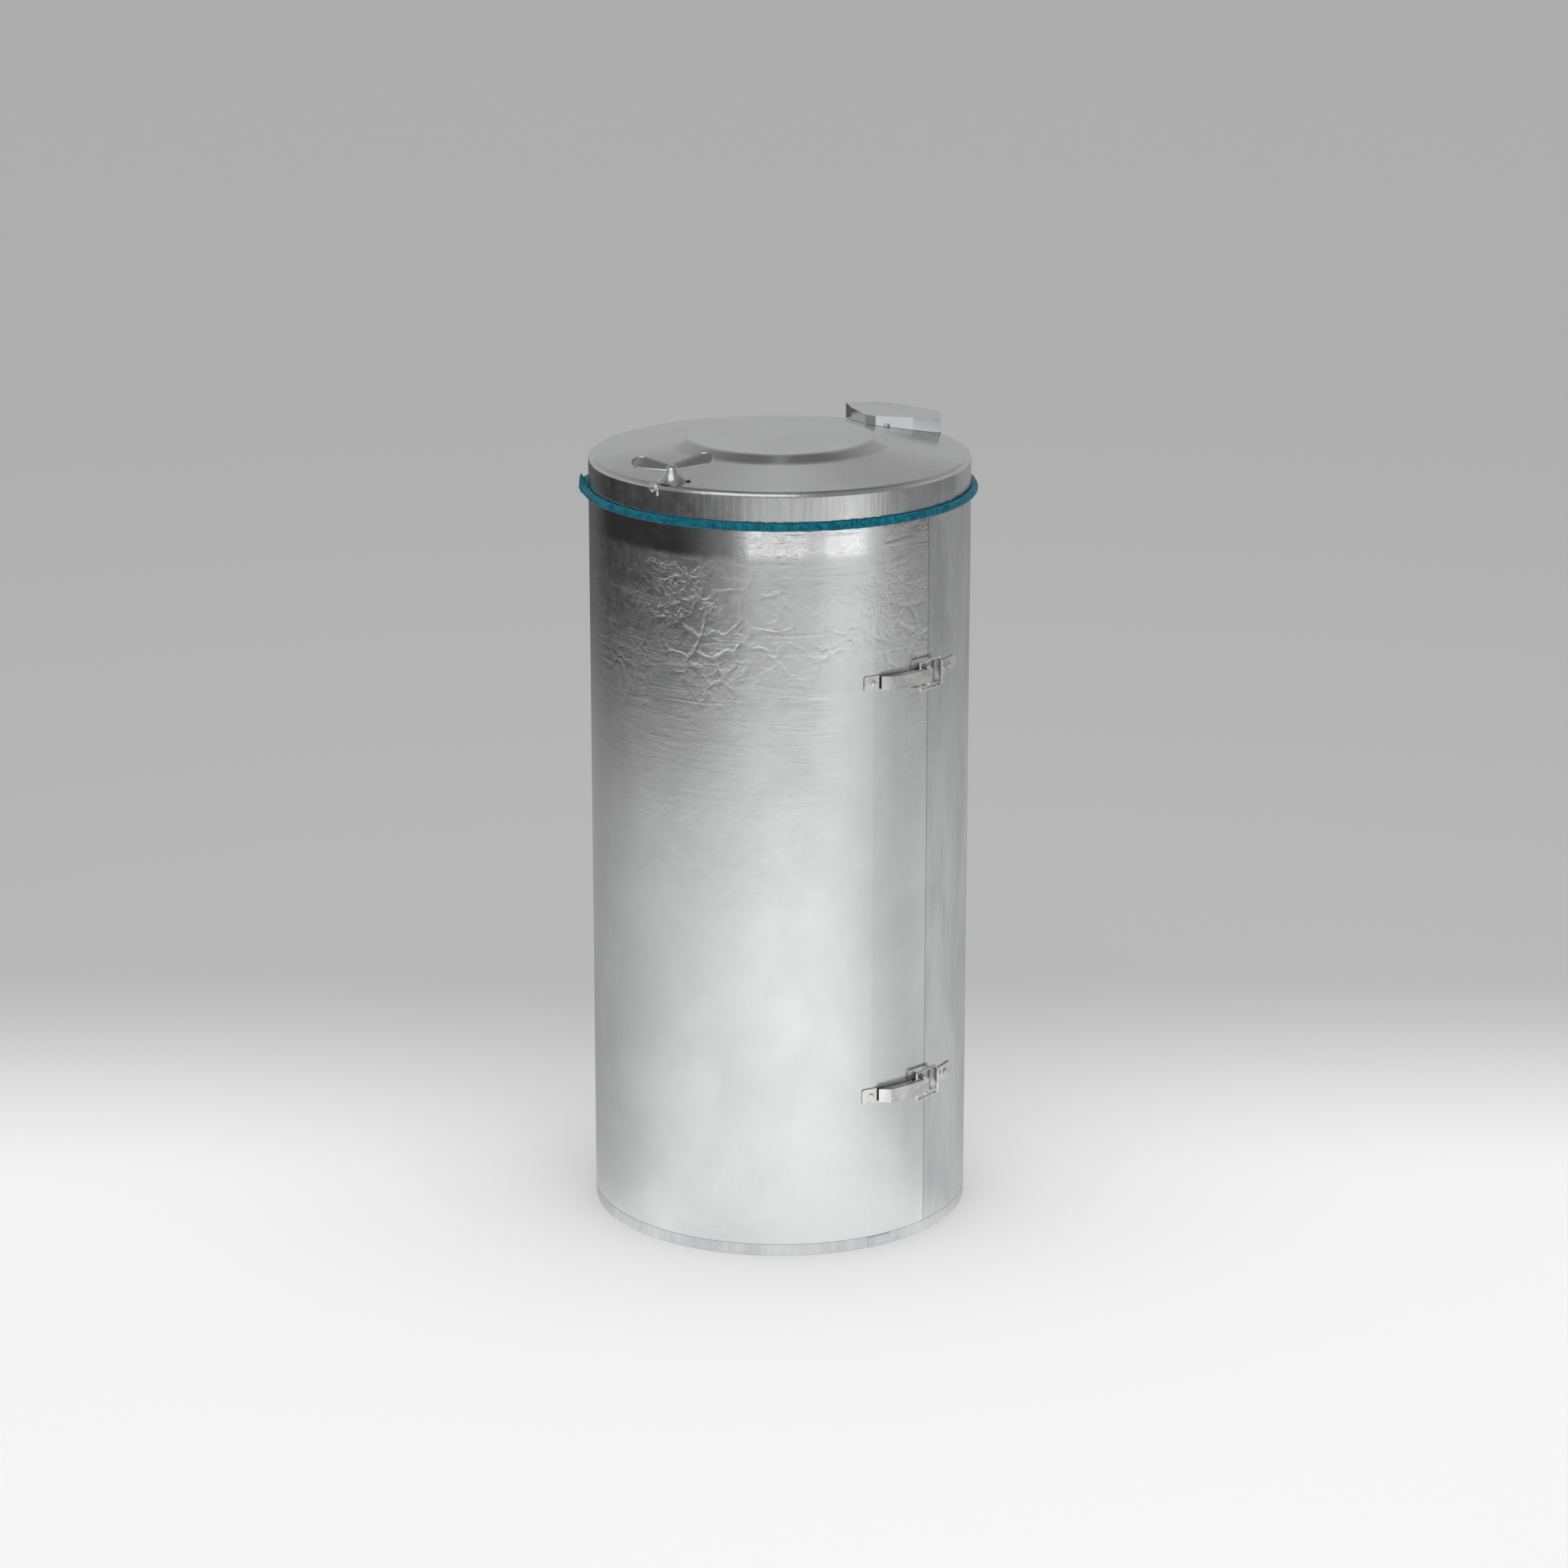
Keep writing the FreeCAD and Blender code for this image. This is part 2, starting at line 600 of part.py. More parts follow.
def makeHood():
    """The hinge hood: a pressed cap on the lid, its rear flap ending in two knuckles."""
    axisReach = skin + size("lidAxisOut")
    rear = axisReach + size("knuckleRadius")
    top = creaseHeight + size("hoodRise")
    low = creaseHeight - size("hoodSkirtDrop")

    right = [
        (size("noseHalf"), size("noseReach")),
        (size("shoulderHalf"), size("shoulderReach")),
        (size("hoodHalf"), size("cheekReach")),
        (size("flapHalf"), rear),
    ]
    plan = right + [(-x, y) for x, y in reversed(right)]

    def prism(inset, bottom, head):
        points = [Vector(x, y, bottom) for x, y in plan]
        edge = Part.makePolygon(points + [points[0]])
        if inset:
            edge = edge.makeOffset2D(-inset, 2)
        return Part.Face(edge).extrude(Vector(0, 0, head - bottom))

    gap = fitGap * 0.8
    profile = [Vector(0, 0, low - 20), Vector(skin + gap, 0, low - 20)]
    profile += [Vector(r + (gap if r == skin else 0), 0, z) for r, z in lidCorners(gap)]
    profile += [Vector(0, 0, lidTop + gap)]
    lidVolume = Part.Face(Part.makePolygon(profile + [profile[0]])).revolve(
        Vector(0, 0, 0), Vector(0, 0, 1), 360
    )
    inset = size("hoodWall")
    cap = prism(0, low, top).cut(prism(inset, low - 1, top - inset)).cut(lidVolume)
    hood = shaped("hoodCap", cap.removeSplitter())
    axisHeight = size("lidAxisHeight")
    flapLow = axisHeight - size("stopDrop")
    flapPlace = Placement(Vector(-size("flapHalf"), rear - size("plateWall"), flapLow), Rotation())
    flap = doc.addObject("Part::Box", "hoodFlap")
    bind(flap, Length="2 * flapHalf", Width="plateWall")
    flap.Height = top - flapLow - inset / 2
    flap.Placement = flapPlace
    knuckles = cylinder("hoodKnuckles", "knuckleRadius", "2 * flapHalf",
                        Placement(Vector(-size("flapHalf"), axisReach, axisHeight), alongX))
    solid = fused("hoodSolid", [hood, flap, knuckles])
    bore = cylinder("hoodBore", "hingePinRadius + pinClearance", "2 * flapHalf + 4",
                    Placement(Vector(-size("flapHalf") - 2, axisReach, axisHeight), alongX))
    notchHalf = size("bracketHalf") + size("knuckleGap")
    notch = box("hoodNotch", "2 * ( bracketHalf + knuckleGap )", "4 * knuckleRadius",
                "stopDrop + 1 + 1.7 * knuckleRadius",
                Placement(Vector(-notchHalf, axisReach - 2 * size("knuckleRadius"), flapLow - 1),
                          Rotation()))
    keep(cut("lidHingeHood", solid, fused("hoodCuts", [bore, notch])), "lid_hinge_hood")


def makeBracket():
    """The fixed half of the lid hinge: a curved plate with a strap that rises to one knuckle."""
    axisReach = skin + size("lidAxisOut")
    half = size("bracketHalfAngle")
    plate = band("bracketPlate", "bodyRadius + sheetGap + plateWall", "bodyRadius + sheetGap",
                 "bracketHead - bracketFoot", size("bracketFoot"), 90 - half, "2 * bracketHalfAngle")
    drilled = cut("bracketDrilled", plate, drill("bracketDrill", bracketSpots))
    front = "bodyRadius + lidAxisOut - knuckleRadius"
    strap = padded("bracketStrap", "YZ_Plane", [
        ("bodyRadius + 2 * sheetGap", "bracketHead - strapRoot"),
        ("bodyRadius + 2 * sheetGap + plateWall", "bracketHead - strapRoot"),
        ("bodyRadius + 2 * sheetGap + plateWall", "bracketHead - 1"),
        (front + " + plateWall", "lidAxisHeight - knuckleRadius"),
        (front + " + plateWall", "lidAxisHeight"),
        (front, "lidAxisHeight"),
        (front, "lidAxisHeight - knuckleRadius + 1"),
        ("bodyRadius + 2 * sheetGap", "bracketHead"),
    ], "2 * bracketHalf", middle=True)
    place = Placement(Vector(-size("bracketHalf"), axisReach, size("lidAxisHeight")), alongX)
    knuckle = cylinder("bracketKnuckle", "knuckleRadius", "2 * bracketHalf", place)
    borePlace = Placement(Vector(-size("bracketHalf") - 1, axisReach, size("lidAxisHeight")), alongX)
    bore = cylinder("bracketBore", "hingePinRadius", "2 * bracketHalf + 2", borePlace)
    solid = fused("bracketSolid", [drilled, strap, knuckle])
    keep(cut("lidHingeBracket", solid, bore), "lid_hinge_bracket")


def makePin(label, radius, length, head, place):
    """A pin along its own Z, with a flat head at each end."""
    shank = cylinder(label + "Shank", radius, length, place)
    below = Placement(Vector(0, 0, -size("pinHeadTall")), Rotation())
    low = cylinder(label + "LowHead", head, "pinHeadTall", place * below)
    doc.recompute()
    high = cylinder(label + "HighHead", head, "pinHeadTall",
                    place * Placement(Vector(0, 0, float(shank.Height)), Rotation()))
    keep(fused(label, [shank, low, high]), label)


def makeLidPin():
    start = -size("flapHalf") - fitGap
    place = Placement(Vector(start, skin + size("lidAxisOut"), size("lidAxisHeight")), alongX)
    makePin("lid_hinge_pin", "hingePinRadius", "2 * flapHalf + 2 * sheetGap",
            "knuckleRadius - pinHeadInset", place)


# ---- door and its hinges ---------------------------------------------------------------------------


def makeDoor():
    seam = size("seamHalfAngle")
    panel = band("doorSheet", "bodyRadius", "bodyRadius - sheetWall", shellTall,
                 size("shellFoot"), 180 + seam, "180 - 2 * seamHalfAngle")
    corner = [(size("cornerHoleAngle"), size("shellHead") - size("cornerHoleDrop"))]
    tools = [
        drill("doorDrill", leafSpots["door"] + baseSpots),
        drill("doorCornerDrill", corner, "cornerHoleRadius"),
    ]
    keep(cut("doorPanel", panel, fused("doorHoles", tools)), "door_panel")


def makeLeaf(level, side):
    """One leaf of a door hinge with its share of the three knuckles."""
    height = hingeHeights[level]
    name = f"{level}{side.title()}Leaf"
    tall = size("leafTall")
    low = height - tall / 2
    isDoor = side == "door"
    start = 180 + size("seamHalfAngle") if isDoor else 180 - size("leafAngle")
    outer = "bodyRadius + sheetGap + leafWall"
    leaf = band(name + "Plate", outer, "bodyRadius + sheetGap", "leafTall", low, start,
                "leafAngle - seamHalfAngle")
    leaf = cut(name + "Drilled", leaf, drill(name + "Drill", leafSpots[side]))
    segment = tall / 3
    gap = size("knuckleGap")
    if isDoor:
        spans = [(low + segment + gap / 2, "leafTall / 3 - knuckleGap")]
    else:
        spans = [(low, "leafTall / 3 - knuckleGap / 2"),
                 (low + 2 * segment + gap / 2, "leafTall / 3 - knuckleGap / 2")]
    axisX = -skin - size("doorAxisOut")
    pieces = [leaf]
    webDeep = size("doorAxisOut") - size("doorKnuckle") * 0.4
    for k, (bottom, length) in enumerate(spans):
        spot = Placement(Vector(axisX, 0, bottom), Rotation())
        pieces.append(cylinder(f"{name}Knuckle{k}", "doorKnuckle", length, spot))
        webY = -size("doorKnuckle") * 0.8 if isDoor else size("doorKnuckle") * 0.2
        webX = -skin - webDeep
        place = Placement(Vector(webX, webY, bottom), Rotation())
        web = box(f"{name}Web{k}", "doorAxisOut - doorKnuckle * 0.4 - sheetGap - leafWall / 4",
                  "doorKnuckle * 0.6", length, place)
        pieces.append(web)
    clearance = " + pinClearance" if isDoor else ""
    bore = cylinder(name + "Bore", "hingePinRadius" + clearance, "leafTall + 4",
                    Placement(Vector(axisX, 0, low - 2), Rotation()))
    keep(cut(name, fused(name + "Solid", pieces), bore), f"{level}_hinge_{side}_leaf")


def makeDoorPin(level):
    low = hingeHeights[level] - size("leafTall") / 2
    place = Placement(Vector(-skin - size("doorAxisOut"), 0, low), Rotation())
    makePin(f"{level}_hinge_pin", "hingePinRadius", "leafTall", "doorKnuckle - pinHeadInset", place)


# ---- toggle latches ------------------------------------------------------------------------------
# Each latch is drawn at angle 0 and height 0, then turned to its pivot's angle: X is outward, Y runs
# round the can from the door to the shell.


def latchFrame(level):
    return turned(size("latchPivotAngle"), latchHeights[level])


def standing(name, radius, halfTall, across, along):
    """A cylinder along Z, centred on the latch, at (across, along)."""
    doc.recompute()
    item = cylinder(name, radius, "2 * ( " + halfTall + " )")
    doc.recompute()
    item.Placement = Placement(Vector(across, along, -float(item.Height) / 2), Rotation())
    return item


def latchPivot():
    return skin + size("latchPivotOut")


def makeLatchBase(level):
    """The strip riveted to the door: a round-ended tab, and two lugs that hold the lever's pin."""
    name = level + "LatchBase"
    pivot = size("latchPivotAngle")
    start = size("baseStart") - pivot
    corner = math.degrees(size("tabCorner") / skin)
    straight = size("tabHalfTall") - size("tabCorner")
    lugSpan = math.degrees((size("lugRadius") + size("lugMargin")) / skin)
    sheetOf = ("bodyRadius + sheetGap + latchWall", "bodyRadius + sheetGap")
    strip = band(name + "Strip", *sheetOf, "2 * tabHalfTall", -size("tabHalfTall"), start + corner,
                 str(-start - corner))
    nose = band(name + "Nose", *sheetOf, "2 * ( tabHalfTall - tabCorner )", -straight, start,
                str(2 * corner))
    rods = [
        cylinder(f"{name}Corner{k}", "tabCorner", "drillDeep",
                 turned(start + corner, height)
                 * Placement(Vector(skin - size("drillDeep") / 2, 0, 0), alongX))
        for k, height in enumerate((-straight, straight))
    ]
    edge = band(name + "Edge", *sheetOf, "2 * tabHalfTall", -size("tabHalfTall"), start, str(2 * corner))
    corners = common(name + "Corners", [fused(name + "Rods", rods), edge])
    wide = band(name + "Wide", *sheetOf, "2 * baseHalfTall", -size("baseHalfTall"), -lugSpan,
                str(2 * lugSpan))
    pieces = [strip, nose, corners, wide]
    lugLow = size("leverHalfTall") + size("leverSideGap")
    for k, bottom in enumerate((lugLow, -lugLow - size("latchWall"))):
        centre = Placement(Vector(latchPivot(), 0, bottom), Rotation())
        pieces.append(cylinder(f"{name}Lug{k}", "lugRadius", "latchWall", centre))
        root = Placement(Vector(skin + fitGap + 0.5, -size("lugRadius"), bottom), Rotation())
        pieces.append(box(f"{name}Root{k}", "latchPivotOut - sheetGap - 0.5", "2 * lugRadius",
                          "latchWall", root))
    pin = standing(name + "Bore", "leverPinRadius", "baseHalfTall + 2", latchPivot(), 0)
    spots = [(angle - pivot, 0) for angle in (size("baseRivetAngle"), size("baseRivetInner"))]
    tools = fused(name + "Holes", [pin, drill(name + "Drill", spots)])
    base = cut(name, fused(name + "Solid", pieces), tools)
    base.Placement = latchFrame(level)
    keep(base, f"{level}_latch_base")


def makeFinger(name, start):
    """The lever's finger end: its plate and webs slope down towards the strip."""
    outer = skin + size("leverOut") + size("latchWall")
    end = start - size("fingerRun")
    lean = math.degrees(math.atan2(size("fingerDrop"), math.radians(size("fingerRun")) * skin))
    wide = math.degrees(size("latchWall") / math.sin(math.radians(lean)) / skin)

    low = outer - size("latchWall") - size("leverWebDeep")

    def prism(corners, inset):
        half = size("leverHalfTall") - inset
        points = [
            Vector(radius * math.cos(math.radians(angle)), radius * math.sin(math.radians(angle)), -half)
            for radius, angle in corners
        ]
        return Part.Face(Part.makePolygon(points + [points[0]])).extrude(Vector(0, 0, 2 * half))

    tip = (outer - size("fingerDrop") - size("latchWall") / 2, end + wide / 2)
    bend = (outer - size("latchWall"), start + wide)
    whole = prism([(outer, start), (outer - size("fingerDrop"), end), tip, (low, bend[1]), bend], 0)
    inside = prism([bend, tip, (low - size("latchWall"), tip[1]), (low - size("latchWall"), bend[1])],
                   size("latchWall"))
    return shaped(name, whole.cut(inside))


def makeLever(level):
    """The lever: a bowed channel with a turned-in finger end, on the pin and carrying the bail."""
    name = level + "LatchLever"
    pivot = size("latchPivotAngle")
    start = size("leverStart") - pivot
    tail = math.degrees(size("leverTail") / skin)
    heel = -math.degrees(size("leverHeel") / skin)
    half = size("leverHalfTall")
    plate = band(name + "Plate", "bodyRadius + leverOut + latchWall", "bodyRadius + leverOut",
                 "2 * leverHalfTall", -half, start, str(tail - start))
    pieces = [plate, makeFinger(name + "Finger", start)]
    pivots = [(latchPivot(), 0), (latchPivot() - size("bailDrop"), -size("bailArm"))]
    for k, bottom in enumerate((-half, half - size("latchWall"))):
        pieces.append(band(f"{name}Web{k}", "bodyRadius + leverOut + latchWall / 2",
                           "bodyRadius + leverOut - leverWebDeep", "latchWall", bottom, start,
                           str(heel - start)))
        pieces.append(band(f"{name}Heel{k}", "bodyRadius + leverOut + latchWall / 2",
                           "bodyRadius + leverOut - leverHeelDeep", "latchWall", bottom, heel - 1,
                           str(tail - heel + 1)))
        for m, (across, along) in enumerate(pivots):
            pieces.append(cylinder(f"{name}Ear{k}{m}", "lugRadius - earInset", "latchWall",
                                   Placement(Vector(across, along, bottom), Rotation())))
    holes = [
        standing(name + "PinHole", "leverPinRadius + pinClearance", "leverHalfTall + 1", *pivots[0]),
        standing(name + "BailHole", "wireRadius + pinClearance", "leverHalfTall + 1", *pivots[1]),
    ]
    lever = cut(name, fused(name + "Solid", pieces), fused(name + "Holes", holes))
    lever.Placement = latchFrame(level)
    keep(lever, f"{level}_latch_lever")


def makeLeverPin(level):
    label = f"{level}_lever_pin"
    doc.recompute()
    length = size("leverHalfTall") + size("leverSideGap") + size("latchWall")
    place = latchFrame(level) * Placement(Vector(latchPivot(), 0, -length), Rotation())
    makePin(label, "leverPinRadius", "2 * ( leverHalfTall + leverSideGap + latchWall )",
            "leverPinRadius + 1.1", place)


def roundedPath(points, bend):
    """Straight runs through the points joined by arcs of this radius, as one wire."""
    edges = []
    last = points[0]
    for before, corner, after in zip(points, points[1:], points[2:]):
        back = (before - corner).normalize()
        ahead = (after - corner).normalize()
        turn = math.pi - back.getAngle(ahead)
        trim = bend * math.tan(turn / 2)
        first, second = corner + back * trim, corner + ahead * trim
        inward = (back + ahead).normalize()
        middle = corner + inward * (bend / math.cos(turn / 2) - bend)
        edges.append(Part.LineSegment(last, first).toShape())
        edges.append(Part.Arc(first, middle, second).toShape())
        last = second
    edges.append(Part.LineSegment(last, points[-1]).toShape())
    return Part.Wire(edges)


def makeBail(level):
    """A wire bail: its ends stand in the lever's ears and its crossbar lies behind the catch."""
    across = latchPivot() - size("bailDrop")
    along = -size("bailArm")
    half = size("bailHalfTall")
    inner = size("leverHalfTall") - size("latchWall") - size("leverSideGap")
    hook = Vector(skin + size("bailHookOut"), size("bailReach"), 0)
    points = [
        Vector(across, along, -inner),
        Vector(across, along, -half),
        Vector(hook.x, hook.y, -half),
        Vector(hook.x, hook.y, half),
        Vector(across, along, half),
        Vector(across, along, inner),
    ]
    path = roundedPath(points, size("bailBend"))
    start = Part.Wire([Part.Circle(points[0], Vector(0, 0, 1), size("wireRadius")).toShape()])
    wire = path.makePipeShell([start], True, False)
    bail = shaped(level + "LatchBail", wire)
    bail.Placement = latchFrame(level)
    keep(bail, f"{level}_latch_bail")


def makeCatch(level):
    """The catch on the shell: a tab with two rivets and an upright flange with a rolled lip."""
    name = level + "LatchCatch"
    pivot = size("latchPivotAngle")
    face = size("bailReach") - size("wireRadius") - size("hookGap")
    middle = face - size("latchWall") / 2
    footAngle = math.degrees(math.asin((face - size("latchWall")) / skin))
    outer = "bodyRadius + sheetGap + latchWall"
    end = size("catchEnd") - pivot
    tab = band(name + "Tab", outer, "bodyRadius + sheetGap", "2 * catchHalfTall",
               -size("catchHalfTall"), footAngle, str(end - footAngle))
    foot = band(name + "Foot", outer, "bodyRadius + sheetGap", "2 * flangeHalfTall",
                -size("flangeHalfTall"), footAngle, "2")
    drop = skin * math.cos(math.radians(footAngle)) + fitGap
    flange = box(name + "Flange", str(skin + size("flangeOut") - drop), "latchWall", "2 * flangeHalfTall",
                 Placement(Vector(drop, face - size("latchWall"), -size("flangeHalfTall")), Rotation()))
    lip = standing(name + "Lip", "lipRadius", "flangeHalfTall", skin + size("flangeOut"), middle)
    roundPlace = turned(end) * Placement(Vector(skin - 5, 0, 0), alongX)
    tabRound = cylinder(name + "TabRound", "catchHalfTall", "20", roundPlace)
    tabBand = band(name + "TabBand", outer, "bodyRadius + sheetGap", "2 * catchHalfTall",
                   -size("catchHalfTall"), end - 1, "6")
    pieces = [tab, foot, flange, lip, common(name + "TabEnd", [tabRound, tabBand])]
    spots = [(angle - pivot, 0) for angle in catchAngles]
    catch = cut(name, fused(name + "Solid", pieces), drill(name + "Drill", spots))
    catch.Placement = latchFrame(level)
    keep(catch, f"{level}_latch_catch")


# ---- build -----------------------------------------------------------------------------------------


def build():
    makeBaseRing()
    makeFloorPan()
    makeRearShell()
    leg = size("postSpan") - size("postStart")
    makePost("latch_side_post", -size("postStart"), leg - 0.2)
    makePost("hinge_side_post", 180 - leg, 180 - leg + 0.2)
    makeCollar()
    makeBag()
    makeBagRing()
    makeLid()
    makeGrip()
    makeHood()
    makeBracket()
    makeLidPin()
    makeDoor()
    for level in ("upper", "lower"):
        for side in ("shell", "door"):
            makeLeaf(level, side)
        makeDoorPin(level)
        makeLatchBase(level)
        makeLever(level)
        makeLeverPin(level)
        makeBail(level)
        makeCatch(level)
    leafSeat = skin + fitGap + size("leafWall")
    latchSeat = skin + fitGap + size("latchWall")
    rivetGroup("shell_leaf_rivets", leafSpots["shell"], leafSeat, tailSeat)
    rivetGroup("door_leaf_rivets", leafSpots["door"], leafSeat, tailSeat)
    rivetGroup("latch_base_rivets", baseSpots, latchSeat, tailSeat)
    rivetGroup("catch_rivets", catchSpots, latchSeat, tailSeat)
    rivetGroup("bracket_rivets", bracketSpots, skin + fitGap + size("plateWall"), tailSeat)


def check():
    doc.recompute()
    for item in doc.Objects:
        if "Invalid" in item.State or "Error" in item.State:
            raise RuntimeError(f"{item.Name} failed: {item.State}")
    for item in subParts:
        shape = item.Shape
        whole = all(s.Volume > 1 for s in shape.Solids)
        if shape.isNull() or not shape.isValid() or not shape.Solids or not whole:
            raise RuntimeError(f"{item.Label} has no sound solid")


def write():
    os.makedirs("parts", exist_ok=True)
    for item in subParts:
        item.Shape.exportStep(f"parts/{item.Label}.step")
        solids = item.Shape.Solids
        volume = sum(s.Volume for s in solids)
        print(f"{item.Label}: {len(solids)} solid(s), {volume:.0f} mm3")


build()
check()
write()
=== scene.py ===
import bpy
import bmesh
import math
from mathutils import Matrix, Vector, noise


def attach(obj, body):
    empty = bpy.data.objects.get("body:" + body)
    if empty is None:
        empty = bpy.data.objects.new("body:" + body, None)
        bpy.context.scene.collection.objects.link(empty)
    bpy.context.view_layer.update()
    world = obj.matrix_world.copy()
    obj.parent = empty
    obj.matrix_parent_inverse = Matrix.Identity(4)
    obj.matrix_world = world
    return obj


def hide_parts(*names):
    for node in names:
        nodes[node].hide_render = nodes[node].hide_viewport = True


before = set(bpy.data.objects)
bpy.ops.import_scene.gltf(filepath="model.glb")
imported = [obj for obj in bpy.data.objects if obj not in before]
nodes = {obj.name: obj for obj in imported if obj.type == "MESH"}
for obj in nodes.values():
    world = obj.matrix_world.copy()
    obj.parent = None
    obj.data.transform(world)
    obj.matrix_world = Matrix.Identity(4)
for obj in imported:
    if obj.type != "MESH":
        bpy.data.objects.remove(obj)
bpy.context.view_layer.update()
print("frame loaded:", len(nodes), "nodes")


# small helpers

def clearSelection():
    if bpy.context.object and bpy.context.object.mode != "OBJECT":
        bpy.ops.object.mode_set(mode="OBJECT")
    bpy.ops.object.select_all(action="DESELECT")


def pick(piece):
    clearSelection()
    piece.select_set(True)
    bpy.context.view_layer.objects.active = piece


def placed(piece, place=None):  # puts the place into the mesh, so the object stays at the origin
    if place is not None:
        piece.matrix_world = place @ piece.matrix_world
        bpy.context.view_layer.update()
    pick(piece)
    bpy.ops.object.transform_apply(location=True, rotation=True, scale=True)
    return piece


def applyAll(piece):
    pick(piece)
    for name in [m.name for m in piece.modifiers]:
        bpy.ops.object.modifier_apply(modifier=name)
    return piece


def tidyMesh(piece, distance=0.00001):
    pick(piece)
    bpy.ops.object.mode_set(mode="EDIT")
    bpy.ops.mesh.select_all(action="SELECT")
    bpy.ops.mesh.remove_doubles(threshold=distance)
    bpy.ops.mesh.normals_make_consistent(inside=False)
    bpy.ops.object.mode_set(mode="OBJECT")
    return piece


def smooth(piece, degrees=35):
    pick(piece)
    bpy.ops.object.shade_smooth_by_angle(angle=math.radians(degrees))
    return piece


def finished(piece, name, body, material, degrees=35):
    piece.name = name
    piece.data.name = name
    piece.data.materials.clear()
    piece.data.materials.append(material)
    smooth(piece, degrees)
    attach(piece, body)
    return piece


def turnedRing(name, segments, outline):  # a circle extruded and scaled along (radius, height) steps
    bpy.ops.object.select_all(action="DESELECT")
    radius, height = outline[0]
    bpy.ops.mesh.primitive_circle_add(vertices=segments, radius=radius, location=(0, 0, height))
    ring = bpy.context.object
    ring.name = name
    placed(ring)
    bpy.ops.object.mode_set(mode="EDIT")
    bpy.ops.mesh.select_all(action="SELECT")
    for nextRadius, nextHeight in outline[1:]:
        bpy.ops.mesh.extrude_edges_move(TRANSFORM_OT_translate={"value": (0, 0, nextHeight - height)})
        share = nextRadius / radius
        bpy.ops.transform.resize(value=(share, share, 1), center_override=(0, 0, nextHeight))
        radius, height = nextRadius, nextHeight
    bpy.ops.object.mode_set(mode="OBJECT")
    return ring


def onCan(radius, degrees, height):  # a place on the can: X points outward, Z up
    turn = Matrix.Rotation(math.radians(degrees), 4, "Z")
    return Matrix.Translation((0, 0, height)) @ turn @ Matrix.Translation((radius, 0, 0))


# camera

camera = {"azimuth": 40.5, "distance": 5.0, "height": 1.963, "pitch": 15.13, "focal": 5349, "frame": 1932,
          "sensor": 36, "shiftX": 0.0027, "shiftY": -0.05, "reach": 200}


def makeCamera():
    turn = math.radians(camera["azimuth"])
    lens = bpy.data.cameras.new("studioCamera")
    lens.sensor_width = camera["sensor"]
    lens.lens = camera["sensor"] * camera["focal"] / camera["frame"]
    lens.shift_x = camera["shiftX"]
    lens.shift_y = camera["shiftY"]
    lens.clip_end = camera["reach"]
    eye = bpy.data.objects.new("studioCamera", lens)
    bpy.context.scene.collection.objects.link(eye)
    eye.location = (camera["distance"] * math.sin(turn), -camera["distance"] * math.cos(turn), camera["height"])
    eye.rotation_euler = (math.radians(90 - camera["pitch"]), 0, turn)
    bpy.context.scene.camera = eye


makeCamera()
print("camera placed")


# node shorthand

def newMaterial(name):
    material = bpy.data.materials.new(name)
    material.use_nodes = True
    tree = material.node_tree
    tree.nodes.clear()
    return material, tree


class Tree:  # makes nodes and wires them in one call
    def __init__(self, tree):
        self.tree = tree

    def add(self, kind, wires=None, **values):
        node = self.tree.nodes.new(kind)
        for key, value in values.items():
            setattr(node, key, value)
        for socket, source in (wires or {}).items():
            target = node.inputs[socket]
            if isinstance(source, bpy.types.NodeSocket):
                self.tree.links.new(source, target)
            else:
                target.default_value = source
        return node

    def math(self, operation, first, second=0.0, clamp=False):
        node = self.add("ShaderNodeMath", {0: first, 1: second}, operation=operation, use_clamp=clamp)
        return node.outputs[0]

    def mix(self, share, first, second):
        node = self.add("ShaderNodeMix", {0: share, 6: first, 7: second}, data_type="RGBA")
        return node.outputs[2]

    def blend(self, share, first, second):
        return self.add("ShaderNodeMix", {0: share, 2: first, 3: second}, data_type="FLOAT").outputs[0]

    def sum(self, first, second, weight=1.0):  # first plus second times its weight
        return self.math("ADD", first, self.math("MULTIPLY", second, weight))

    def span(self, value, low, high, toLow=0.0, toHigh=1.0):
        wires = {"Value": value, "From Min": low, "From Max": high, "To Min": toLow, "To Max": toHigh}
        return self.add("ShaderNodeMapRange", wires, interpolation_type="SMOOTHSTEP").outputs[0]

    def noise(self, vector, scale, detail=3.0, rough=0.5, distortion=0.0):
        wires = {"Vector": vector, "Scale": scale, "Detail": detail, "Roughness": rough,
                 "Distortion": distortion}
        return self.add("ShaderNodeTexNoise", wires).outputs["Fac"]

    def stretch(self, vector, scale, turn=(0, 0, 0)):
        wires = {"Vector": vector, "Scale": scale, "Rotation": turn}
        return self.add("ShaderNodeMapping", wires).outputs[0]


def newGroup(name, inputs, outputs):
    group = bpy.data.node_groups.new(name, "ShaderNodeTree")
    for label, kind, value in inputs:
        socket = group.interface.new_socket(label, in_out="INPUT", socket_type=kind)
        if value is not None:
            socket.default_value = value
    for label in outputs:
        group.interface.new_socket(label, in_out="OUTPUT", socket_type="NodeSocketFloat")
    into = group.nodes.new("NodeGroupInput")
    out = group.nodes.new("NodeGroupOutput")
    return group, Tree(group), into.outputs, out.inputs


# shared surface effects

